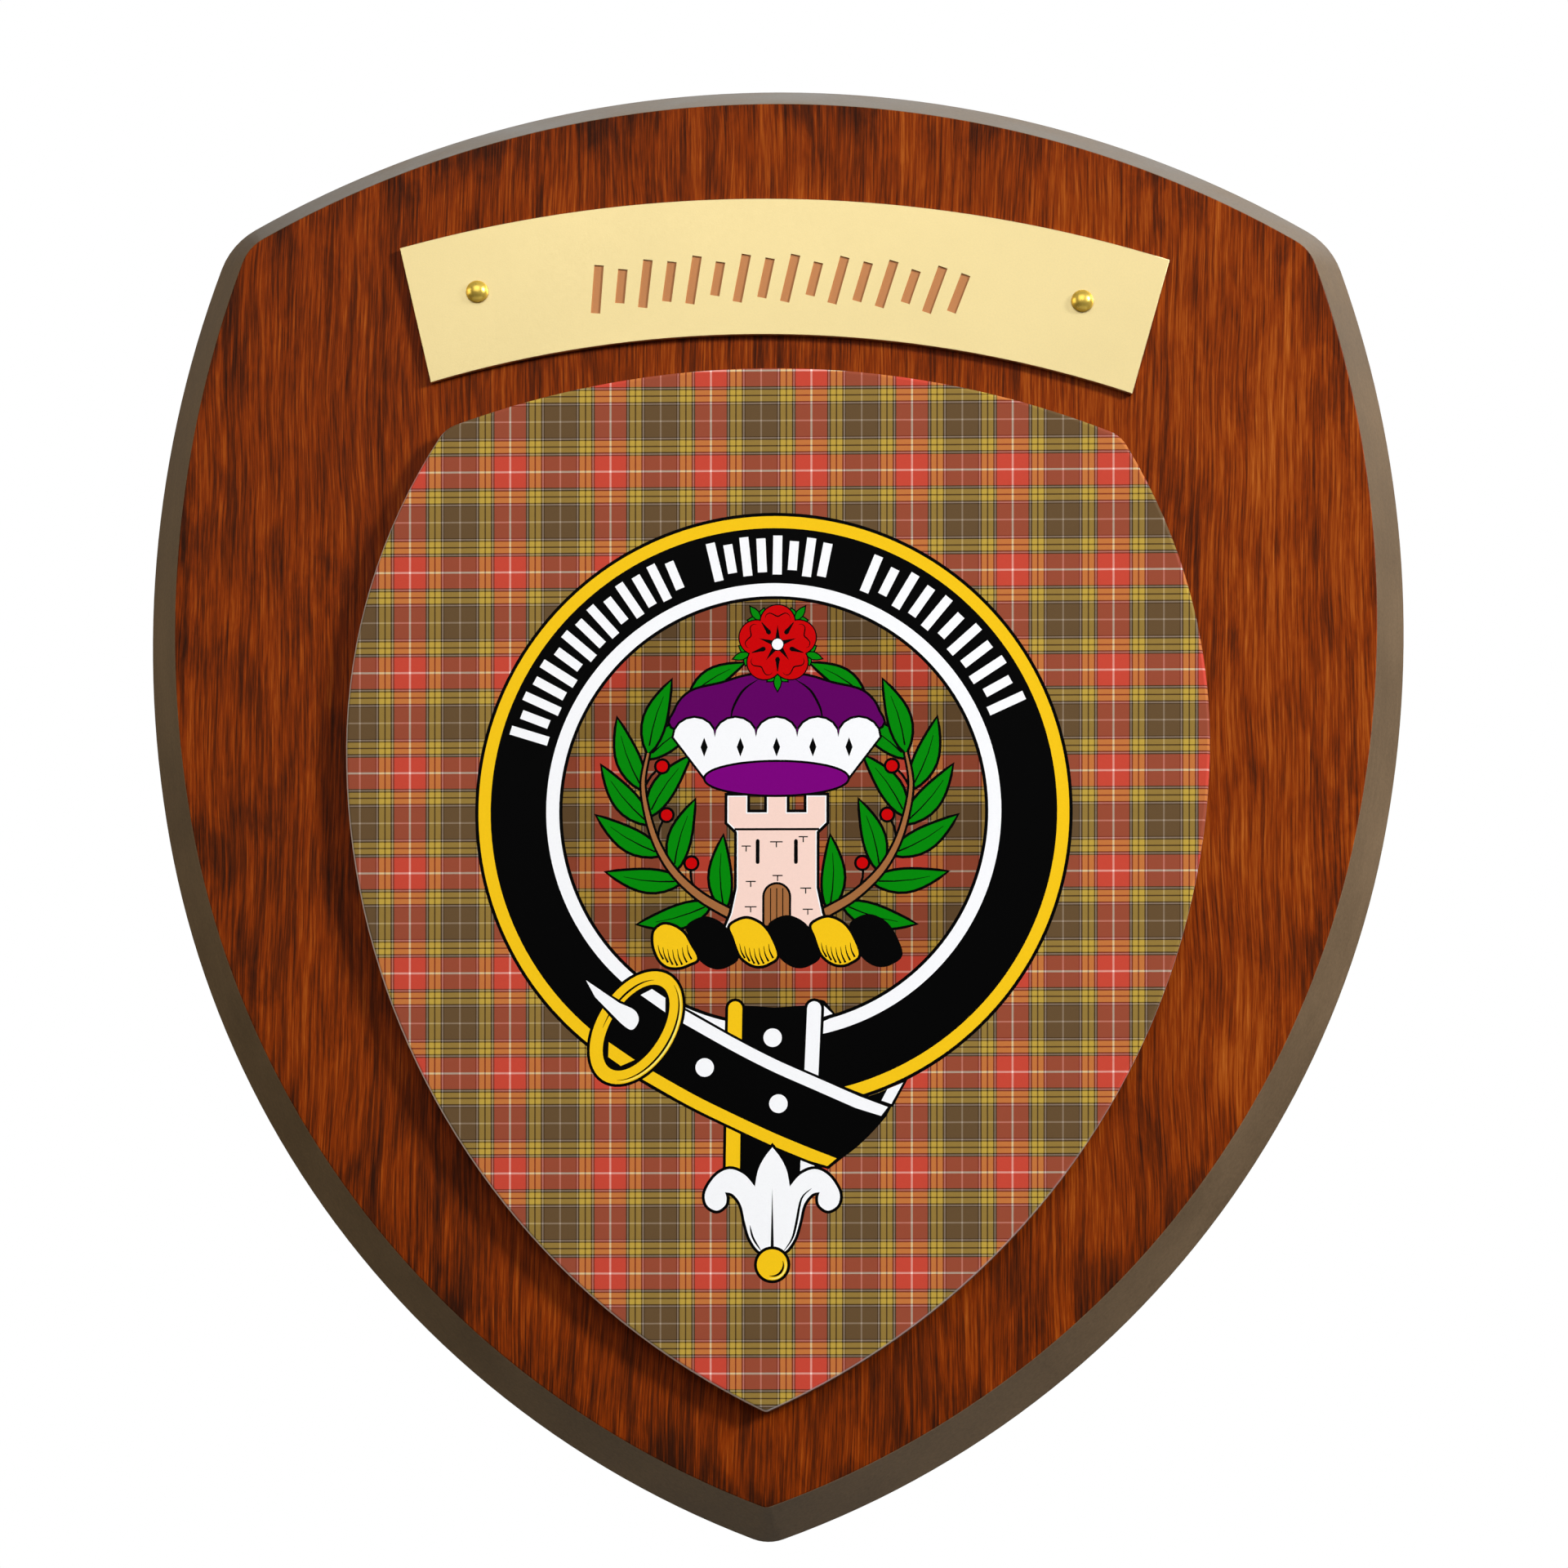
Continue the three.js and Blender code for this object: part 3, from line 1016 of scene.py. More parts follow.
@dataclass(frozen=True)
class Badge:
    """The whole printed emblem, one sub-design over the other."""

    motifs: tuple[Motif, ...] = (
        StrapRing(), LaurelBranch(), Tower(), VelvetCap(), HeraldicRose(), Torse(), StrapTail(), Buckle(),
        StrapTip(),
    )

    def draw(self) -> Drawing:
        """Draws every sub-design.

        Returns:
            The finished artwork.
        """
        drawing = Drawing()
        for motif in self.motifs:
            motif.draw(drawing)
        return drawing


# Shader building


class Graph:
    """A node tree that is filled by short calls."""

    def __init__(self, tree: bpy.types.NodeTree) -> None:
        """Keeps the tree."""
        self.tree = tree

    def feed(self, socket: Socket, value: Feed) -> None:
        """Links a socket to another one, or sets its value.

        Args:
            socket: The socket of a node.
            value: The socket that feeds it, or its value.
        """
        if isinstance(value, bpy.types.NodeSocket):
            self.tree.links.new(value, socket)
        else:
            socket.default_value = value

    def node(self, kind: str, inputs: dict[str, Feed] | dict[int, Feed] | None = None,
             **settings: object) -> bpy.types.Node:
        """Adds a node.

        Args:
            kind: Its Blender type name.
            inputs: Values or sockets by input name or number.
            settings: Properties of the node.

        Returns:
            The node.
        """
        node = self.tree.nodes.new(kind)
        for name, value in settings.items():
            setattr(node, name, value)
        for key, value in (inputs or {}).items():
            self.feed(node.inputs[key], value)
        return node

    def math(self, operation: str, *values: Feed, clamp: bool = False) -> Socket:
        """Does one sum on numbers and gives the result's socket."""
        numbered = dict(enumerate(values))
        return self.node("ShaderNodeMath", numbered, operation=operation, use_clamp=clamp).outputs[0]

    def blend(self, share: Feed, first: Feed, second: Feed, how: str = "MIX") -> Socket:
        """Mixes two colours.

        Args:
            share: Share of the second one, 0 to 1.
            first: The first colour.
            second: The second colour.
            how: Blender's name of the mix.

        Returns:
            The mixed colour's socket.
        """
        colours = {0: share, 6: first, 7: second}
        node = self.node("ShaderNodeMix", colours, data_type="RGBA", blend_type=how, clamp_factor=True)
        return node.outputs[2]

    def ramp(self, value: Feed, stops: Sequence[tuple[float, Sequence[float]]],
             how: str = "LINEAR") -> Socket:
        """Turns a number into a colour.

        Args:
            value: The number, 0 to 1.
            stops: Places and colours along the ramp.
            how: Interpolation between the stops.

        Returns:
            The colour's socket.
        """
        node = self.node("ShaderNodeValToRGB", {"Fac": value})
        ramp = node.color_ramp
        ramp.interpolation = how
        for index, (place, colour) in enumerate(stops):
            stop = ramp.elements[index] if index < 2 else ramp.elements.new(1.0)
            stop.position = place
            stop.color = (*colour[:3], 1.0)
        return node.outputs["Color"]

    def stretch(self, value: Feed, low: float, high: float, to_low: float = 0.0,
                to_high: float = 1.0) -> Socket:
        """Maps a range of numbers to another one, held at its ends."""
        ends = {"Value": value, "From Min": low, "From Max": high, "To Min": to_low, "To Max": to_high}
        return self.node("ShaderNodeMapRange", ends, clamp=True).outputs["Result"]

    def noise(self, vector: Socket, scale: Feed, detail: float = 2.0, roughness: float = 0.5,
              distortion: float = 0.0) -> Socket:
        """Adds noise.

        Args:
            vector: Where it is read.
            scale: How often it changes in a metre.
            detail: How many finer layers it has.
            roughness: How strong they are.
            distortion: How far it is bent.

        Returns:
            The socket of its value, 0 to 1.
        """
        inputs = {"Vector": vector, "Scale": scale, "Detail": detail, "Roughness": roughness,
                  "Distortion": distortion}
        return self.node("ShaderNodeTexNoise", inputs, noise_dimensions="3D").outputs["Fac"]

    def scaled(self, vector: Socket, factors: Sequence[float]) -> Socket:
        """Scales a vector by axis."""
        return self.node("ShaderNodeMapping", {"Vector": vector, "Scale": factors}).outputs["Vector"]

    def parts(self, vector: Socket) -> bpy.types.NodeOutputs:
        """Gives the sockets of a vector's X, Y and Z."""
        return self.node("ShaderNodeSeparateXYZ", {"Vector": vector}).outputs

    def group(self, tree: bpy.types.NodeTree, inputs: dict[str, Feed]) -> bpy.types.NodeOutputs:
        """Places a node group and gives its output sockets."""
        return self.node("ShaderNodeGroup", inputs, node_tree=tree).outputs


def new_group(name: str, inputs: dict[str, tuple[str, float | None]], outputs: dict[str, str],
              build: Callable[[Graph, bpy.types.NodeOutputs], dict[str, Socket]]) -> bpy.types.NodeTree:
    """Makes a shader node group.

    Args:
        name: Its name.
        inputs: Socket type and first value by input name.
        outputs: Socket type by output name.
        build: Adds the nodes, given the graph and the group's inputs, and returns a socket by output name.

    Returns:
        The node group.
    """
    tree = bpy.data.node_groups.new(name, "ShaderNodeTree")
    for label, (kind, first) in inputs.items():
        socket = tree.interface.new_socket(label, in_out="INPUT", socket_type=kind)
        if first is not None:
            socket.default_value = first
    for label, kind in outputs.items():
        tree.interface.new_socket(label, in_out="OUTPUT", socket_type=kind)
    graph = Graph(tree)
    results = build(graph, graph.node("NodeGroupInput").outputs)
    graph.node("NodeGroupOutput", results)
    return tree


VECTOR, NUMBER, COLOUR = "NodeSocketVector", "NodeSocketFloat", "NodeSocketColor"
NOISE_REACH: Span = (0.3, 0.7)


@dataclass(frozen=True)
class WoodFigure:
    """Upright wood grain: long streaks, fine fibres, dark patches and a slow drift, all swaying a little.

    Each has how often it changes in a metre along x, y and z, and its detail, roughness and distortion.
    """

    sway: Spot = (16.0, 16.0, 9.0)
    streaks: tuple[Spot, float, float, float] = ((700.0, 700.0, 13.0), 2.0, 0.55, 0.1)
    fibres: tuple[Spot, float, float, float] = ((2200.0, 2200.0, 62.0), 3.0, 0.7, 0.1)
    patches: tuple[Spot, float, float, float] = ((120.0, 120.0, 40.0), 5.0, 0.58, 0.6)
    drift: tuple[Spot, float, float, float] = ((60.0, 60.0, 10.0), 2.0, 0.5, 0.0)

    def group(self) -> bpy.types.NodeTree:
        """Makes the group that puts out a value for each part of the figure.

        Returns:
            The node group, with a vector and the sway's width in metres going in.
        """
        figure = {
            "Streaks": self.streaks, "Fibres": self.fibres, "Patches": self.patches, "Drift": self.drift,
        }

        def build(graph: Graph, entry: bpy.types.NodeOutputs) -> dict[str, Socket]:
            bend = graph.math("SUBTRACT", graph.noise(graph.scaled(entry["Vector"], self.sway), 1.0), 0.5)
            parts = graph.parts(entry["Vector"])
            x = graph.math("ADD", parts["X"], graph.math("MULTIPLY", bend, entry["Wave"]))
            swayed = graph.node("ShaderNodeCombineXYZ", {"X": x, "Y": parts["Y"], "Z": parts["Z"]})
            return {
                name: graph.noise(graph.scaled(swayed.outputs["Vector"], changes), 1.0, *settings)
                for name, (changes, *settings) in figure.items()
            }

        inputs = {"Vector": (VECTOR, None), "Wave": (NUMBER, 0.01)}
        return new_group("upright wood figure", inputs, dict.fromkeys(figure, NUMBER), build)


@dataclass(frozen=True)
class SurfaceLife:
    """Small unevenness in a coat or a sheet: soft mottling and a fine tooth."""

    mottle: tuple[float, float, float] = (38.0, 3.0, 0.55)
    tooth: tuple[float, float] = (3.0, 0.6)

    def group(self) -> bpy.types.NodeTree:
        """Makes the group that puts out both.

        Returns:
            The node group, with a vector and the number of grains in a metre going in.
        """

        def build(graph: Graph, entry: bpy.types.NodeOutputs) -> dict[str, Socket]:
            return {
                "Mottle": graph.noise(entry["Vector"], *self.mottle),
                "Tooth": graph.noise(entry["Vector"], entry["Grain"], *self.tooth),
            }

        inputs = {"Vector": (VECTOR, None), "Grain": (NUMBER, 2500.0)}
        return new_group("surface life", inputs, {"Mottle": NUMBER, "Tooth": NUMBER}, build)


@dataclass(frozen=True)
class Sett:
    """The tartan's stripes, from the middle of the white line to the middle of the grey one.

    Each stripe is its colour as a screen shows it and its width in hundredths of a millimetre. The printer
    let the pattern shrink a little downwards, by the given share for each metre.
    """

    half_repeats: Point = (12.0, 12.11)
    crossing: Point = (-39.08, 52.34)
    shrink: float = 0.11
    turn: float = 0.5
    stripes: tuple[tuple[Tone, int], ...] = (
        ((255, 226, 216), 21), ((205, 76, 60), 354), ((58, 42, 30), 28), ((168, 154, 144), 28),
        ((50, 42, 26), 32), ((196, 164, 70), 116), ((62, 46, 22), 32), ((196, 164, 70), 124),
        ((54, 42, 24), 32), ((168, 154, 144), 30), ((52, 40, 26), 28), ((104, 82, 56), 354),
        ((172, 156, 138), 21),
    )
    weave: float = 0.42
    weave_depth: float = 0.16
    display_gamma: float = 2.2

    def laid(self, graph: Graph, place: Socket) -> bpy.types.NodeOutputs:
        """Lays the pattern on the panel: shrunk, moved to its crossing and turned.

        Args:
            graph: Where the nodes go.
            place: The panel's own coordinates.

        Returns:
            The sockets of the pattern's X, Y and Z, in metres.
        """
        x, z = self.crossing
        size = graph.math("MULTIPLY_ADD", graph.parts(place)["Z"], self.shrink, 1.0)
        drawn = graph.node("ShaderNodeVectorMath", {0: place, 3: graph.math("DIVIDE", 1.0, size)},
                           operation="SCALE").outputs["Vector"]
        turn = (0, -math.radians(self.turn), 0)
        laying = {"Vector": drawn, "Location": (x * MM, 0, z * MM), "Rotation": turn}
        return graph.parts(graph.node("ShaderNodeMapping", laying, vector_type="TEXTURE").outputs["Vector"])

    def stops(self) -> list[tuple[float, list[float]]]:
        """Gives the stripes as a ramp needs them.

        Returns:
            Where each stripe starts as a share of the half repeat, and its colour as a screen shows it.
        """
        total = sum(width for _, width in self.stripes)
        starts = accumulate((width for _, width in self.stripes), initial=0)
        return [(start / total, [channel / 255 for channel in colour])
                for start, (colour, _) in zip(starts, self.stripes)]

    def group(self) -> bpy.types.NodeTree:
        """Makes the group that puts out the woven colour.

        Returns:
            The node group, with a vector in and a linear colour out.
        """

        def build(graph: Graph, entry: bpy.types.NodeOutputs) -> dict[str, Socket]:
            parts = self.laid(graph, entry["Vector"])
            threads = []
            for axis, half_repeat in zip(("X", "Z"), self.half_repeats):
                repeats = graph.math("DIVIDE", parts[axis], half_repeat * MM)
                threads.append(graph.ramp(graph.math("PINGPONG", repeats, 1.0), self.stops(), "CONSTANT"))
            diagonal = graph.math("ADD", parts["X"], parts["Z"])
            twill = graph.math("PINGPONG", graph.math("DIVIDE", diagonal, self.weave * MM / 2), 1.0)
            share = graph.stretch(twill, 0, 1, 0.5 - self.weave_depth / 2, 0.5 + self.weave_depth / 2)
            mixed = graph.blend(share, *threads)
            gamma = graph.node("ShaderNodeGamma", {"Color": mixed, "Gamma": self.display_gamma})
            return {"Colour": gamma.outputs["Color"]}

        return new_group("tartan", {"Vector": (VECTOR, None)}, {"Colour": COLOUR}, build)


@dataclass(frozen=True)
class Library:
    """The node groups that the finishes share."""

    wood: bpy.types.NodeTree
    life: bpy.types.NodeTree
    tartan: bpy.types.NodeTree

    @classmethod
    def build(cls) -> "Library":
        """Makes every group once."""
        return cls(WoodFigure().group(), SurfaceLife().group(), Sett().group())


def shaded(colour: Sequence[float], by: float) -> tuple[float, ...]:
    """Makes a linear colour darker or lighter, with an alpha of one."""
    return (*(min(1.0, by * channel) for channel in colour), 1.0)


class Finish:
    """A material while it is built: its graph, its main shader and the piece's own coordinates."""

    def __init__(self, name: str) -> None:
        """Starts a material that has only its main shader.

        Args:
            name: The material's name.
        """
        self.material = bpy.data.materials.new(name)
        self.material.use_nodes = True
        self.material.node_tree.nodes.clear()
        self.graph = Graph(self.material.node_tree)
        self.shader = self.graph.node("ShaderNodeBsdfPrincipled")
        output = self.graph.node("ShaderNodeOutputMaterial")
        self.graph.feed(output.inputs["Surface"], self.shader.outputs["BSDF"])
        self.place = self.graph.node("ShaderNodeTexCoord").outputs["Object"]

    def give(self, socket: str, value: Feed) -> None:
        """Links a value to a socket of the main shader, or sets it there."""
        self.graph.feed(self.shader.inputs[socket], value)

    def give_gloss(self, over: Socket, reach: Span, roughness: float, spread: Span) -> None:
        """Lets the roughness vary a little over the surface.

        Args:
            over: What it varies with.
            reach: Range of that value.
            roughness: The middle roughness.
            spread: What is added to it at the two ends of the range.
        """
        low, high = roughness + spread[0], roughness + spread[1]
        self.give("Roughness", self.graph.stretch(over, *reach, low, high))

    def give_relief(self, height: Socket, strength: float, depth: float) -> None:
        """Adds a bump too fine for the mesh.

        Args:
            height: Its height, 0 to 1.
            strength: How much of it shows.
            depth: Its full height, in metres.
        """
        bump = self.graph.node("ShaderNodeBump", {"Height": height, "Strength": strength, "Distance": depth})
        self.give("Normal", bump.outputs["Normal"])

    def attribute(self, name: str, output: str) -> Socket:
        """Reads an attribute of the mesh."""
        return self.graph.node("ShaderNodeAttribute", attribute_name=name).outputs[output]


@dataclass(frozen=True)
class Mahogany:
    """Satin-lacquered mahogany with upright grain, and with painted shade gathered along its rim.

    The tone is a place along the ramp of tones. It is a sum of shares of streaks and fibres, drifts a
    little, grows lighter to the right as painted light and darker downwards as painted shade, and drops in
    the dark patches and in the painted rim shade.
    """

    tones: tuple[tuple[float, Tone], ...] = (
        (0.0, (50, 20, 6)), (0.28, (92, 34, 4)), (0.52, (134, 50, 3)), (0.78, (165, 77, 15)),
        (1.0, (190, 103, 34)),
    )
    wave: float = 0.01
    base_tone: float = 0.04
    streak_share: float = 0.2
    fibre_share: float = 0.62
    drift_tones: Span = (-0.06, 0.1)
    patch_reach: Span = (0.44, 0.72)
    patch_share: float = 0.22
    # Painted light: the wood grows lighter towards the right, where the light falls.
    right_side: Span = (-0.03, 0.13)
    right_light_tones: Span = (0.0, 0.12)
    # Painted shade: the wood grows darker towards the bottom.
    lower_part: Span = (-0.17, -0.01)
    lower_shade_tones: Span = (-0.08, 0.0)
    # Painted shade along the rim: the dark patches set how much the rim darkens.
    rim_shade_reach: Span = (0.35, 0.65)
    rim_shade_tones: Span = (0.0, 0.2)
    roughness: float = 0.42
    spread: Span = (0.06, -0.05)
    relief: float = 0.15
    relief_depth: float = 0.1 * MM
    specular: float = 0.05

    def make(self, library: Library) -> bpy.types.Material:
        """Builds the material.

        Args:
            library: Shared node groups.

        Returns:
            The material.
        """
        finish = Finish("lacquered mahogany")
        graph = finish.graph
        wood = graph.group(library.wood, {"Vector": finish.place, "Wave": self.wave})
        streaks = graph.stretch(wood["Streaks"], *NOISE_REACH)
        fibres = graph.stretch(wood["Fibres"], *NOISE_REACH)
        patches = graph.stretch(wood["Patches"], *self.patch_reach)
        drift = graph.stretch(wood["Drift"], *NOISE_REACH, *self.drift_tones)
        parts = graph.parts(finish.place)
        # Painted light to the right and painted shade downwards.
        right = graph.stretch(parts["X"], *self.right_side, *self.right_light_tones)
        lower = graph.stretch(parts["Z"], *self.lower_part, *self.lower_shade_tones)
        tone = graph.math("MULTIPLY_ADD", fibres, self.fibre_share, self.base_tone)
        tone = graph.math("MULTIPLY_ADD", streaks, self.streak_share, tone)
        tone = graph.math("ADD", graph.math("ADD", tone, drift), graph.math("ADD", right, lower))
        tone = graph.math("SUBTRACT", tone, graph.math("MULTIPLY", patches, self.patch_share))
        # Painted shade: the wood darkens patchily along the rim of its front.
        rim_shade = graph.stretch(wood["Patches"], *self.rim_shade_reach, *self.rim_shade_tones)
        rim_darkening = graph.math("MULTIPLY", finish.attribute("rim", "Fac"), rim_shade)
        tone = graph.math("SUBTRACT", tone, rim_darkening, clamp=True)
        stops = [(at, display_to_linear(*colour)) for at, colour in self.tones]
        finish.give("Base Color", graph.ramp(tone, stops))
        finish.give("Specular IOR Level", self.specular)
        finish.give_gloss(streaks, (0, 1), self.roughness, self.spread)
        finish.give_relief(fibres, self.relief, self.relief_depth)
        return finish.material


@dataclass(frozen=True)
class PaintedEdge:
    """A smooth brown coat with faint grain: the painted slope, and in other tones the bare back and core."""

    colour: Tone = (123, 101, 75)
    name: str = "painted edge"
    roughness: float = 0.45
    grain_share: float = 0.25
    grain_ink: tuple[float, ...] = (0.02, 0.012, 0.008, 1.0)
    darker: float = 0.8
    lighter: float = 1.3
    grain: float = 1400.0
    wave: float = 0.004
    spread: Span = (-0.05, 0.07)
    relief: float = 0.06
    relief_depth: float = 0.2 * MM
    specular: float = 0.25

    def make(self, library: Library) -> bpy.types.Material:
        """Builds the material.

        Args:
            library: Shared node groups.

        Returns:
            The material.
        """
        finish = Finish(self.name)
        graph = finish.graph
        life = graph.group(library.life, {"Vector": finish.place, "Grain": self.grain})
        wood = graph.group(library.wood, {"Vector": finish.place, "Wave": self.wave})
        tooth, mottle = life["Tooth"], life["Mottle"]
        uneven = graph.math("MULTIPLY", graph.math("ADD", tooth, mottle), 0.5)
        base = display_to_linear(*self.colour)
        painted = graph.blend(graph.stretch(uneven, *NOISE_REACH), shaded(base, self.darker),
                              shaded(base, self.lighter))
        grain = graph.math("MULTIPLY", wood["Streaks"], self.grain_share)
        finish.give("Base Color", graph.blend(grain, painted, self.grain_ink))
        finish.give("Specular IOR Level", self.specular)
        finish.give_gloss(mottle, NOISE_REACH, self.roughness, self.spread)
        finish.give_relief(tooth, self.relief, self.relief_depth)
        return finish.material


@dataclass(frozen=True)
class PrintedCoat:
    """The smooth coated face that carries the print, read from the mesh's ink and cloth attributes."""

    roughness: float = 0.4
    grain: float = 3200.0
    tooth_reach: Span = (0.25, 0.75)
    tooth_values: Span = (0.97, 1.02)
    spread: Span = (-0.04, 0.06)
    relief: float = 0.05
    relief_depth: float = 0.1 * MM
    specular: float = 0.03

    def make(self, library: Library) -> bpy.types.Material:
        """Builds the material.

        Args:
            library: Shared node groups.

        Returns:
            The material.
        """
        finish = Finish("printed coat")
        graph = finish.graph
        life = graph.group(library.life, {"Vector": finish.place, "Grain": self.grain})
        tartan = graph.group(library.tartan, {"Vector": finish.place})
        ink = finish.attribute("ink", "Color")
        woven = graph.blend(1.0, tartan["Colour"], ink, "MULTIPLY")
        printed = graph.blend(finish.attribute("cloth", "Fac"), ink, woven)
        value = graph.stretch(life["Tooth"], *self.tooth_reach, *self.tooth_values)
        uneven = graph.node("ShaderNodeHueSaturation", {"Color": printed, "Value": value})
        finish.give("Base Color", uneven.outputs["Color"])
        finish.give("Specular IOR Level", self.specular)
        finish.give_gloss(life["Mottle"], NOISE_REACH, self.roughness, self.spread)
        finish.give_relief(life["Tooth"], self.relief, self.relief_depth)
        return finish.material


@dataclass(frozen=True)
class Brass:
    """Brass sheet or solid brass, satin or polished."""

    name: str
    colour: Tone
    roughness: float
    grain: float
    relief: float
    metallic: float = 1.0
    darker: float = 0.95
    lighter: float = 1.04
    tooth_share: float = 0.6
    spread: Span = (-0.04, 0.05)
    relief_depth: float = 0.1 * MM

    def make(self, library: Library) -> bpy.types.Material:
        """Builds the material.

        Args:
            library: Shared node groups.

        Returns:
            The material.
        """
        finish = Finish(self.name)
        graph = finish.graph
        life = graph.group(library.life, {"Vector": finish.place, "Grain": self.grain})
        tooth = life["Tooth"]
        mottled = graph.math("MULTIPLY", life["Mottle"], 1 - self.tooth_share)
        share = graph.math("MULTIPLY_ADD", tooth, self.tooth_share, mottled)
        base = display_to_linear(*self.colour)
        finish.give("Base Color", graph.blend(graph.stretch(share, *NOISE_REACH), shaded(base, self.darker),
                                              shaded(base, self.lighter)))
        finish.give("Metallic", self.metallic)
        finish.give_gloss(tooth, NOISE_REACH, self.roughness, self.spread)
        finish.give_relief(tooth, self.relief, self.relief_depth)
        return finish.material


# Mesh helpers


def choose(thing: bpy.types.Object) -> None:
    """Makes one object the only selected and active one.

    Args:
        thing: The object.
    """
    bpy.ops.object.select_all(action="DESELECT")
    thing.select_set(True)
    bpy.context.view_layer.objects.active = thing


def in_edit_mode(thing: bpy.types.Object, work: Callable[[], None]) -> None:
    """Runs operators on one object in edit mode.

    Args:
        thing: The object.
        work: Calls the operators.
    """
    choose(thing)
    bpy.ops.object.mode_set(mode="EDIT")
    work()
    bpy.ops.object.mode_set(mode="OBJECT")


def in_scene(name: str, data: bpy.types.ID) -> bpy.types.Object:
    """Adds an object to the scene.

    Args:
        name: Its name.
        data: Its mesh, camera or light.

    Returns:
        The object.
    """
    thing = bpy.data.objects.new(name, data)
    bpy.context.scene.collection.objects.link(thing)
    return thing


def merged_copy(node: str, name: str) -> bpy.types.Object:
    """Copies a CAD node, welds its loose triangles and joins the ones that lie in one plane.

    Args:
        node: The CAD node's name.
        name: Name of the new piece.

    Returns:
        The new piece.
    """
    apart, flatness = 0.002 * MM, math.radians(0.2)
    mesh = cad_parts[node].data.copy()
    mesh.name = name
    mesh.materials.clear()
    piece = in_scene(name, mesh)

    def weld() -> None:
        bpy.ops.mesh.select_all(action="SELECT")
        bpy.ops.mesh.remove_doubles(threshold=apart)
        bpy.ops.mesh.dissolve_limited(angle_limit=flatness)

    in_edit_mode(piece, weld)
    return piece


def flat_points(mesh: bpy.types.Mesh, indices: Sequence[int]) -> Outline:
    """Gives vertices as x and z in millimetres."""
    return [(mesh.vertices[index].co.x / MM, mesh.vertices[index].co.z / MM) for index in indices]


def select_nothing(mesh: bpy.types.Mesh) -> None:
    """Deselects all of a mesh."""
    for item in (*mesh.vertices, *mesh.edges, *mesh.polygons):
        item.select = False


def front_of(mesh: bpy.types.Mesh) -> float:
    """Gives the place of a mesh's flat front along y."""
    return min(vertex.co.y for vertex in mesh.vertices)


def lies_at(mesh: bpy.types.Mesh, front: float, indices: Sequence[int]) -> bool:
    """Tells whether vertices all lie in the flat front."""
    return all(mesh.vertices[index].co.y < front + NEAR for index in indices)


def bevel_rim(piece: bpy.types.Object, depth: float, width: float) -> None:
    """Rounds the edges where the flat front meets a wall that is deep enough.

    Args:
        piece: The piece.
        depth: Least depth of the wall.
        width: Width of the rounding.
    """
    segments = 2
    mesh = piece.data
    front = front_of(mesh)
    deepest: dict[tuple[int, int], float] = {}
    for face in mesh.polygons:
        reach = max(mesh.vertices[index].co.y for index in face.vertices)
        for key in face.edge_keys:
            deepest[key] = max(deepest.get(key, reach), reach)
    select_nothing(mesh)
    for edge in mesh.edges:
        edge.select = lies_at(mesh, front, edge.vertices) and deepest[edge.key] > front + depth

    def round_off() -> None:
        bpy.ops.mesh.select_mode(type="EDGE")
        bpy.ops.mesh.bevel(offset=width, offset_type="OFFSET", segments=segments, affect="EDGES")

    in_edit_mode(piece, round_off)


def open_front(piece: bpy.types.Object) -> list[Outline]:
    """Takes the flat front off a piece.

    Args:
        piece: The piece.

    Returns:
        Outlines of the openings, the outer one first.
    """
    mesh = piece.data
    front = front_of(mesh)
    select_nothing(mesh)
    for face in mesh.polygons:
        face.select = lies_at(mesh, front, face.vertices)

    def take_off() -> None:
        bpy.ops.mesh.select_mode(type="FACE")
        bpy.ops.mesh.delete(type="FACE")

    in_edit_mode(piece, take_off)
    faces_at = Counter(key for face in mesh.polygons for key in face.edge_keys)
    beside: dict[int, list[int]] = {}
    for key in sorted(key for key, faces in faces_at.items() if faces == 1):
        for here, there in (key, key[::-1]):
            beside.setdefault(here, []).append(there)
    loops: list[Outline] = []
    while beside:
        here = min(beside)
        loop = [here]
        while here in beside:
            onward = [there for there in beside.pop(here) if there in beside]
            if onward:
                here = onward[0]
                loop.append(here)
        loops.append(counter_clockwise(flat_points(mesh, loop)))
    return sorted(loops, key=signed_area, reverse=True)


def cut_flat(outlines: Sequence[Points]) -> tuple[list[Point], list[list[int]], list[int]]:
    """Cuts the area of the first outline into triangles along all the outlines.

    Args:
        outlines: The border and then what lies on it, each over the ones before it.

    Returns:
        Points, triangles, and for each triangle the number of the uppermost outline round it.
    """
    inside_only, near = 1, 1e-5
    points: list[Vector] = []
    loops: list[list[int]] = []
    for outline in outlines:
        loops.append(list(range(len(points), len(points) + len(outline))))
        points += [Vector(point) for point in outline]
    spots, _, faces, _, _, sources = delaunay_2d_cdt(points, [], loops, inside_only, near, True)
    kept = [(face, max(source)) for face, source in zip(faces, sources) if 0 in source]
    return [tuple(spot) for spot in spots], [face for face, _ in kept], [top for _, top in kept]


def close_front(piece: bpy.types.Object, sheet: bpy.types.Mesh) -> None:
    """Joins a new flat front to a piece and welds the seam.

    Args:
        piece: The piece with its front taken off.
        sheet: The new front.
    """
    apart = 0.001 * MM
    front = in_scene(sheet.name, sheet)
    choose(piece)
    front.select_set(True)
    bpy.ops.object.join()

    def weld() -> None:
        bpy.ops.mesh.select_all(action="SELECT")
        bpy.ops.mesh.remove_doubles(threshold=apart)

    in_edit_mode(piece, weld)


def flat_sheet(name: str, height: float, points: list[Point], triangles: list[list[int]]) -> bpy.types.Mesh:
    """Makes a flat mesh that faces the viewer.

    Args:
        name: Its name.
        height: Its place along y.
        points: Its points, x and z in millimetres.
        triangles: Its triangles.

    Returns:
        The mesh.
    """
    sheet = bpy.data.meshes.new(name)
    sheet.from_pydata([(x * MM, height, z * MM) for x, z in points], [], triangles)
    return sheet


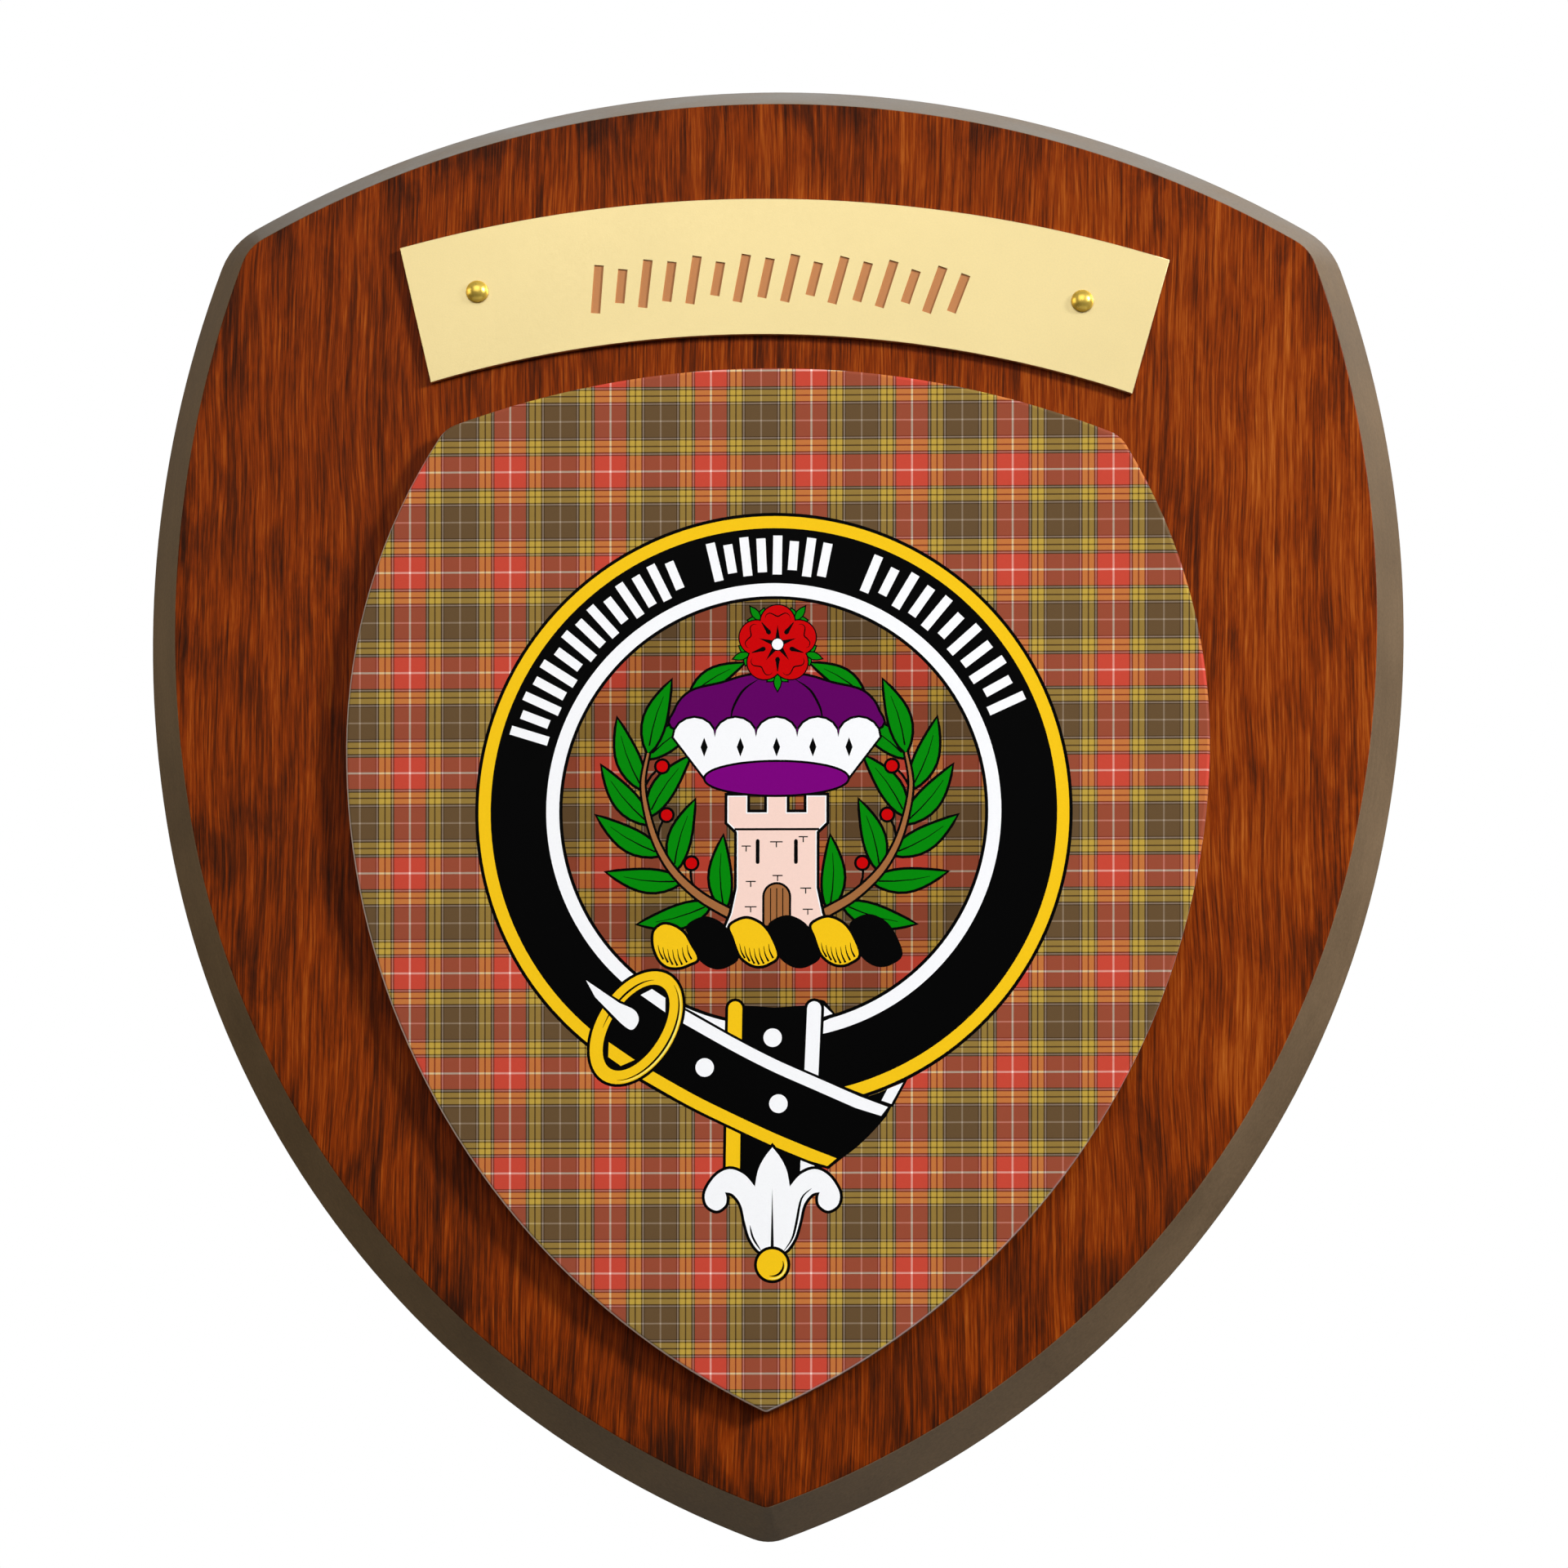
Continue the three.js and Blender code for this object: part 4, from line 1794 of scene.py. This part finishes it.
def flat_shine(piece: bpy.types.Object, angle: float) -> None:
    """Shades a piece smooth, with its large faces kept flat.

    Args:
        piece: The piece.
        angle: Steepest angle between two faces that are shaded as one, in degrees.
    """
    choose(piece)
    bpy.ops.object.shade_smooth_by_angle(angle=math.radians(angle))
    bpy.ops.object.modifier_add(type="WEIGHTED_NORMAL")
    piece.modifiers[-1].keep_sharp = True
    bpy.ops.object.modifier_apply(modifier=piece.modifiers[-1].name)


def dress(piece: bpy.types.Object, finishes: Sequence[bpy.types.Material],
          pick: Callable[[bpy.types.MeshPolygon], int] | None = None) -> None:
    """Gives a piece its materials.

    Args:
        piece: The piece.
        finishes: Its materials.
        pick: Tells which of them a face gets.
    """
    for finish in finishes:
        piece.data.materials.append(finish)
    for face in piece.data.polygons:
        face.material_index = pick(face) if pick else 0


def corner_inks(mesh: bpy.types.Mesh) -> tuple[bpy.types.Attribute, bpy.types.Attribute]:
    """Adds the ink and cloth attributes to a mesh.

    Args:
        mesh: The mesh.

    Returns:
        The two attributes.
    """
    mesh.attributes.new("ink", "FLOAT_COLOR", "CORNER")
    mesh.attributes.new("cloth", "FLOAT", "CORNER")
    return mesh.attributes["ink"], mesh.attributes["cloth"]


def inside_by(outline: Outline, point: Point) -> float:
    """Tells how far a point lies inside an outline, below zero outside.

    Args:
        outline: A closed outline.
        point: The point.

    Returns:
        The distance to the outline.
    """
    nearest, inside = math.inf, False
    px, py = point
    for (ax, ay), (bx, by) in zip(outline, outline[1:] + outline[:1]):
        dx, dy = bx - ax, by - ay
        t = held(((px - ax) * dx + (py - ay) * dy) / (dx * dx + dy * dy))
        nearest = min(nearest, math.dist(point, (ax + t * dx, ay + t * dy)))
        if (ay > py) != (by > py) and px < ax + (py - ay) / (by - ay) * dx:
            inside = not inside
    return nearest if inside else -nearest


def hand_over(piece: bpy.types.Object, node: str) -> None:
    """Lets a piece stand for a CAD node.

    Args:
        piece: The piece.
        node: The CAD node's name.
    """
    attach(piece, "root")
    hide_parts(node)


# The plaque's pieces


@dataclass
class Backboard:
    """The shield board with its sloping painted edge."""

    arris: float = 0.35 * MM
    # Width of the painted shade along the rim of the mahogany front, in millimetres.
    slope_depth: float = 14 * MM
    shaded_rim_width: float = 9.0
    crease_angle: float = 34.0
    facing: float = 0.75
    mahogany: Mahogany = Mahogany()
    paint: PaintedEdge = PaintedEdge()
    back: PaintedEdge = PaintedEdge((150, 108, 72), "bare back", 0.7, 0.5)

    def new_front(self, height: float, openings: list[Outline]) -> bpy.types.Mesh:
        """Makes the board's flat front, cut along the inner edge of the rim of painted shade.

        Args:
            height: Its place along y.
            openings: Outline of the front and of the pin bores in it.

        Returns:
            The mesh.
        """
        rim, *bores = openings
        wooden = [rim, grown(rim, -self.shaded_rim_width)]
        points, triangles, tops = cut_flat([*wooden, *bores])
        wood = [face for face, top in zip(triangles, tops) if top < len(wooden)]
        return flat_sheet("board front", height, points, wood)

    def mark_rim_shade(self, mesh: bpy.types.Mesh, rim: Outline) -> None:
        """Marks every vertex with the strength of the painted rim shade: full at the rim, none further in.

        Args:
            mesh: The board's mesh.
            rim: Outline of its flat front.
        """
        # The rim attribute carries the painted shade along the rim.
        mesh.attributes.new("rim", "FLOAT", "POINT")
        places = flat_points(mesh, range(len(mesh.vertices)))
        for place, item in zip(places, mesh.attributes["rim"].data):
            item.value = held(1 - inside_by(rim, place) / self.shaded_rim_width)

    def build(self, library: Library) -> bpy.types.Object:
        """Builds and dresses the board.

        Args:
            library: Shared node groups.

        Returns:
            The piece.
        """
        low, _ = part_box("board")
        piece = merged_copy("board", "shield_board")
        bevel_rim(piece, self.slope_depth, self.arris)
        openings = open_front(piece)
        close_front(piece, self.new_front(low.y, openings))
        self.mark_rim_shade(piece.data, openings[0])
        flat_shine(piece, self.crease_angle)

        def region(face: bpy.types.MeshPolygon) -> int:
            if face.normal.y < -self.facing and face.center.y < low.y + self.arris:
                return 0
            return 1 if inside_by(openings[0], (face.center.x / MM, face.center.z / MM)) < 0 else 2

        dress(piece, [self.mahogany.make(library), self.paint.make(library), self.back.make(library)], region)
        hand_over(piece, "board")
        return piece


@dataclass
class PrintedPanel:
    """The raised panel: its flat front is cut along every outline of the print, and nothing is raised."""

    badge: Badge = Badge()
    middle: Point = (0.4, -5.0)
    turn: float = 0.4
    tall: float = 1.013
    bare_margin: float = 0.02
    print_shift: Point = (0.14, 0.18)
    print_fade: float = 0.25
    crease_angle: float = 40.0
    facing: float = 0.2
    coat: PrintedCoat = PrintedCoat()
    core: PaintedEdge = PaintedEdge((126, 88, 58), "hardboard core", 0.7, 0.1)

    def placed(self, outline: Points) -> Outline:
        """Moves artwork to where it lies on the panel, as x and z of the plaque in millimetres."""
        return turned([(x, y * self.tall) for x, y in outline], self.turn, self.middle)

    def printed_area(self, border: Outline) -> Outline:
        """Gives the outline that the print reaches, a little inside the panel's and shifted."""
        return moved(grown(border, -self.bare_margin), *self.print_shift)

    def new_front(self, height: float, rim: Outline, border: Outline) -> bpy.types.Mesh:
        """Makes the flat front, cut along the print's outlines and inked.

        Args:
            height: Its place along y.
            rim: Outline of the flat front.
            border: The panel's outer outline.

        Returns:
            The mesh.
        """
        patches = [Patch(rim, Ink.COAT), Patch(self.printed_area(border), Ink.CLOTH)]
        patches += [Patch(self.placed(patch.outline), patch.ink) for patch in self.badge.draw().patches]
        points, triangles, tops = cut_flat([patch.outline for patch in patches])
        sheet = flat_sheet("printed front", height, points, triangles)
        ink, cloth = corner_inks(sheet)
        for face, top in zip(sheet.polygons, tops):
            for corner in face.loop_indices:
                ink.data[corner].color = patches[top].ink.linear
                cloth.data[corner].value = float(patches[top].ink.is_cloth)
        return sheet

    def paint_edge(self, piece: bpy.types.Object, border: Outline) -> None:
        """Inks the rounded rim and the sides: printed where the print reaches them, bare elsewhere.

        Args:
            piece: The panel without its front.
            border: The panel's outer outline.
        """
        mesh = piece.data
        ink, cloth = corner_inks(mesh)
        area = self.printed_area(border)
        reach = [inside_by(area, place) for place in flat_points(mesh, range(len(mesh.vertices)))]
        for loop in mesh.loops:
            share = held(reach[loop.vertex_index] / self.print_fade + 0.5)
            ink.data[loop.index].color = [channel + (1 - channel) * share for channel in Ink.COAT.linear]
            cloth.data[loop.index].value = share

    def build(self, library: Library) -> bpy.types.Object:
        """Builds and dresses the panel.

        Args:
            library: Shared node groups.

        Returns:
            The piece.
        """
        low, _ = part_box("panel")
        piece = merged_copy("panel", "printed_panel")
        back = max(piece.data.polygons, key=lambda face: face.center.y + face.normal.y)
        border = counter_clockwise(flat_points(piece.data, back.vertices))
        rim = open_front(piece)[0]
        self.paint_edge(piece, border)
        close_front(piece, self.new_front(low.y, rim, border))
        flat_shine(piece, self.crease_angle)
        finishes = [self.coat.make(library), self.core.make(library)]
        dress(piece, finishes, lambda face: 0 if face.normal.y < -self.facing else 1)
        hand_over(piece, "panel")
        return piece


@dataclass
class NamePlate:
    """The curved brass plate with its row of engraved strokes."""

    arris: float = 0.14 * MM
    sheet_depth: float = 1 * MM
    stroke_floor: Span = (0.2 * MM, 0.6 * MM)
    crease_angle: float = 34.0
    facing: float = 0.9
    brass: Brass = Brass("satin brass", (231, 211, 153), 0.42, 2600.0, 0.12)
    fill: Brass = Brass("copper fill", (196, 130, 76), 0.5, 2600.0, 0.1, 0.35)

    def build(self, library: Library) -> bpy.types.Object:
        """Builds and dresses the plate.

        Args:
            library: Shared node groups.

        Returns:
            The piece.
        """
        low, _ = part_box("name_plate")
        piece = merged_copy("name_plate", "brass_plate")
        bevel_rim(piece, self.sheet_depth, self.arris)
        flat_shine(piece, self.crease_angle)
        upper, lower = [low.y + depth for depth in self.stroke_floor]
        dress(piece, [self.brass.make(library), self.fill.make(library)],
              lambda face: int(face.normal.y < -self.facing and upper < face.center.y < lower))
        hand_over(piece, "name_plate")
        return piece


@dataclass
class DomePin:
    """One polished brass pin with a domed head."""

    side: str
    crease_angle: float = 42.0
    brass: Brass = Brass("polished brass", (255, 214, 94), 0.3, 900.0, 0.03, 0.7)

    def build(self, finish: bpy.types.Material) -> bpy.types.Object:
        """Builds and dresses the pin.

        Args:
            finish: The material both pins share.

        Returns:
            The piece.
        """
        node = f"pin_{self.side}"
        piece = merged_copy(node, f"dome_pin_{self.side}")
        choose(piece)
        bpy.ops.object.shade_smooth_by_angle(angle=math.radians(self.crease_angle))
        dress(piece, [finish])
        hand_over(piece, node)
        return piece


# The studio


@dataclass(frozen=True)
class SoftLight:
    """A square soft light that faces the plaque, with its place and side in metres and its power in watts."""

    name: str
    place: Spot
    size: float
    watts: float
    tint: Spot = (1.0, 1.0, 1.0)

    def hang(self) -> None:
        """Adds the light."""
        data = bpy.data.lights.new(self.name, "AREA")
        data.size, data.energy, data.color = self.size, self.watts, self.tint
        light = in_scene(self.name, data)
        light.location = self.place
        light.visible_camera = False
        light.rotation_euler = (-Vector(self.place)).to_track_quat("-Z", "Y").to_euler()


@dataclass
class Studio:
    """Camera, lights, floor and the pale surroundings."""

    eye: Spot = (0.04238, -1.38297, -0.20868)
    azimuth: float = 1.755
    elevation: float = -8.773
    roll: float = 0.518
    lens: float = 132.4
    sensor: float = 36.0
    shift: float = 0.00569
    lights: tuple[SoftLight, ...] = (
        SoftLight("key light", (1.95, -1.38, 0.99), 0.5, 68, (1.0, 1.02, 1.08)),
        SoftLight("front light", (-0.2, -2.1, 1.1), 1.7, 16.5),
        SoftLight("left light", (-1.9, -0.6, 0.35), 1.2, 9.5, (1.0, 0.92, 0.7)),
        SoftLight("back light", (0.25, 1.4, 1.25), 1.8, 12, (0.8, 0.93, 1.0)),
    )
    floor_drop: float = 1.3
    floor_size: float = 3.0
    floor_mottle: float = 3.0
    floor_tones: tuple[tuple[float, ...], ...] = ((0.4, 0.4, 0.39, 1.0), (0.46, 0.46, 0.45, 1.0))
    floor_seen: tuple[float, ...] = (0.6, 0.6, 0.59, 1.0)
    floor_roughness: float = 0.8
    horizon: Span = (-0.1, 0.6)
    sky_light: Span = (0.01, 0.22)

    def place_camera(self) -> None:
        """Puts the camera where the photograph was taken from."""
        data = bpy.data.cameras.new("camera")
        data.lens, data.sensor_width, data.shift_x = self.lens, self.sensor, self.shift
        camera = in_scene("camera", data)
        turn = (
            Matrix.Rotation(math.radians(self.azimuth), 3, "Z")
            @ Matrix.Rotation(math.radians(90 - self.elevation), 3, "X")
            @ Matrix.Rotation(math.radians(self.roll), 3, "Z")
        )
        camera.matrix_world = Matrix.Translation(Vector(self.eye)) @ turn.to_4x4()
        bpy.context.scene.camera = camera

    def place_floor(self) -> None:
        """Lays the pale floor below the plaque."""
        low, _ = cad_box
        bpy.ops.object.select_all(action="DESELECT")
        bpy.ops.mesh.primitive_plane_add(size=self.floor_size, location=(0, 0, low.z - self.floor_drop))
        floor = bpy.context.object
        floor.name = "floor"
        finish = Finish("pale floor")
        graph = finish.graph
        mottle = graph.noise(finish.place, self.floor_mottle)
        finish.give("Base Color", graph.blend(mottle, *self.floor_tones))
        seen = graph.node("ShaderNodeLightPath").outputs["Is Camera Ray"]
        finish.give("Emission Color", graph.blend(seen, (0, 0, 0, 1), self.floor_seen))
        finish.give("Emission Strength", 1.0)
        finish.give("Roughness", self.floor_roughness)
        floor.data.materials.append(finish.material)

    def light_surroundings(self) -> None:
        """Makes the surroundings white to look at and soft grey as a light."""
        world = bpy.data.worlds.new("studio")
        bpy.context.scene.world = world
        world.use_nodes = True
        world.node_tree.nodes.clear()
        graph = Graph(world.node_tree)
        direction = graph.node("ShaderNodeTexCoord").outputs["Generated"]
        glow = graph.stretch(graph.parts(direction)["Z"], *self.horizon, *self.sky_light)
        seen = graph.node("ShaderNodeLightPath").outputs["Is Camera Ray"]
        strength = graph.math("MAXIMUM", seen, glow)
        back = graph.node("ShaderNodeBackground", {"Color": (1, 1, 1, 1), "Strength": strength})
        output = graph.node("ShaderNodeOutputWorld")
        graph.feed(output.inputs["Surface"], back.outputs["Background"])

    def build(self) -> None:
        """Builds the whole studio."""
        bpy.context.scene.view_settings.view_transform = "Standard"
        self.place_camera()
        for light in self.lights:
            light.hang()
        self.place_floor()
        self.light_surroundings()


def main() -> None:
    """Builds the plaque's looks and the studio round it."""
    logging.basicConfig(level=logging.INFO, format="%(message)s")
    log = logging.getLogger("plaque")
    library = Library.build()
    Studio().build()
    pieces = [Backboard().build(library), PrintedPanel().build(library), NamePlate().build(library)]
    pins = [DomePin("left"), DomePin("right")]
    pin_finish = pins[0].brass.make(library)
    pieces += [pin.build(pin_finish) for pin in pins]
    for piece in pieces:
        log.info("%s: %d faces", piece.name, len(piece.data.polygons))


if __name__ == "__main__":
    main()
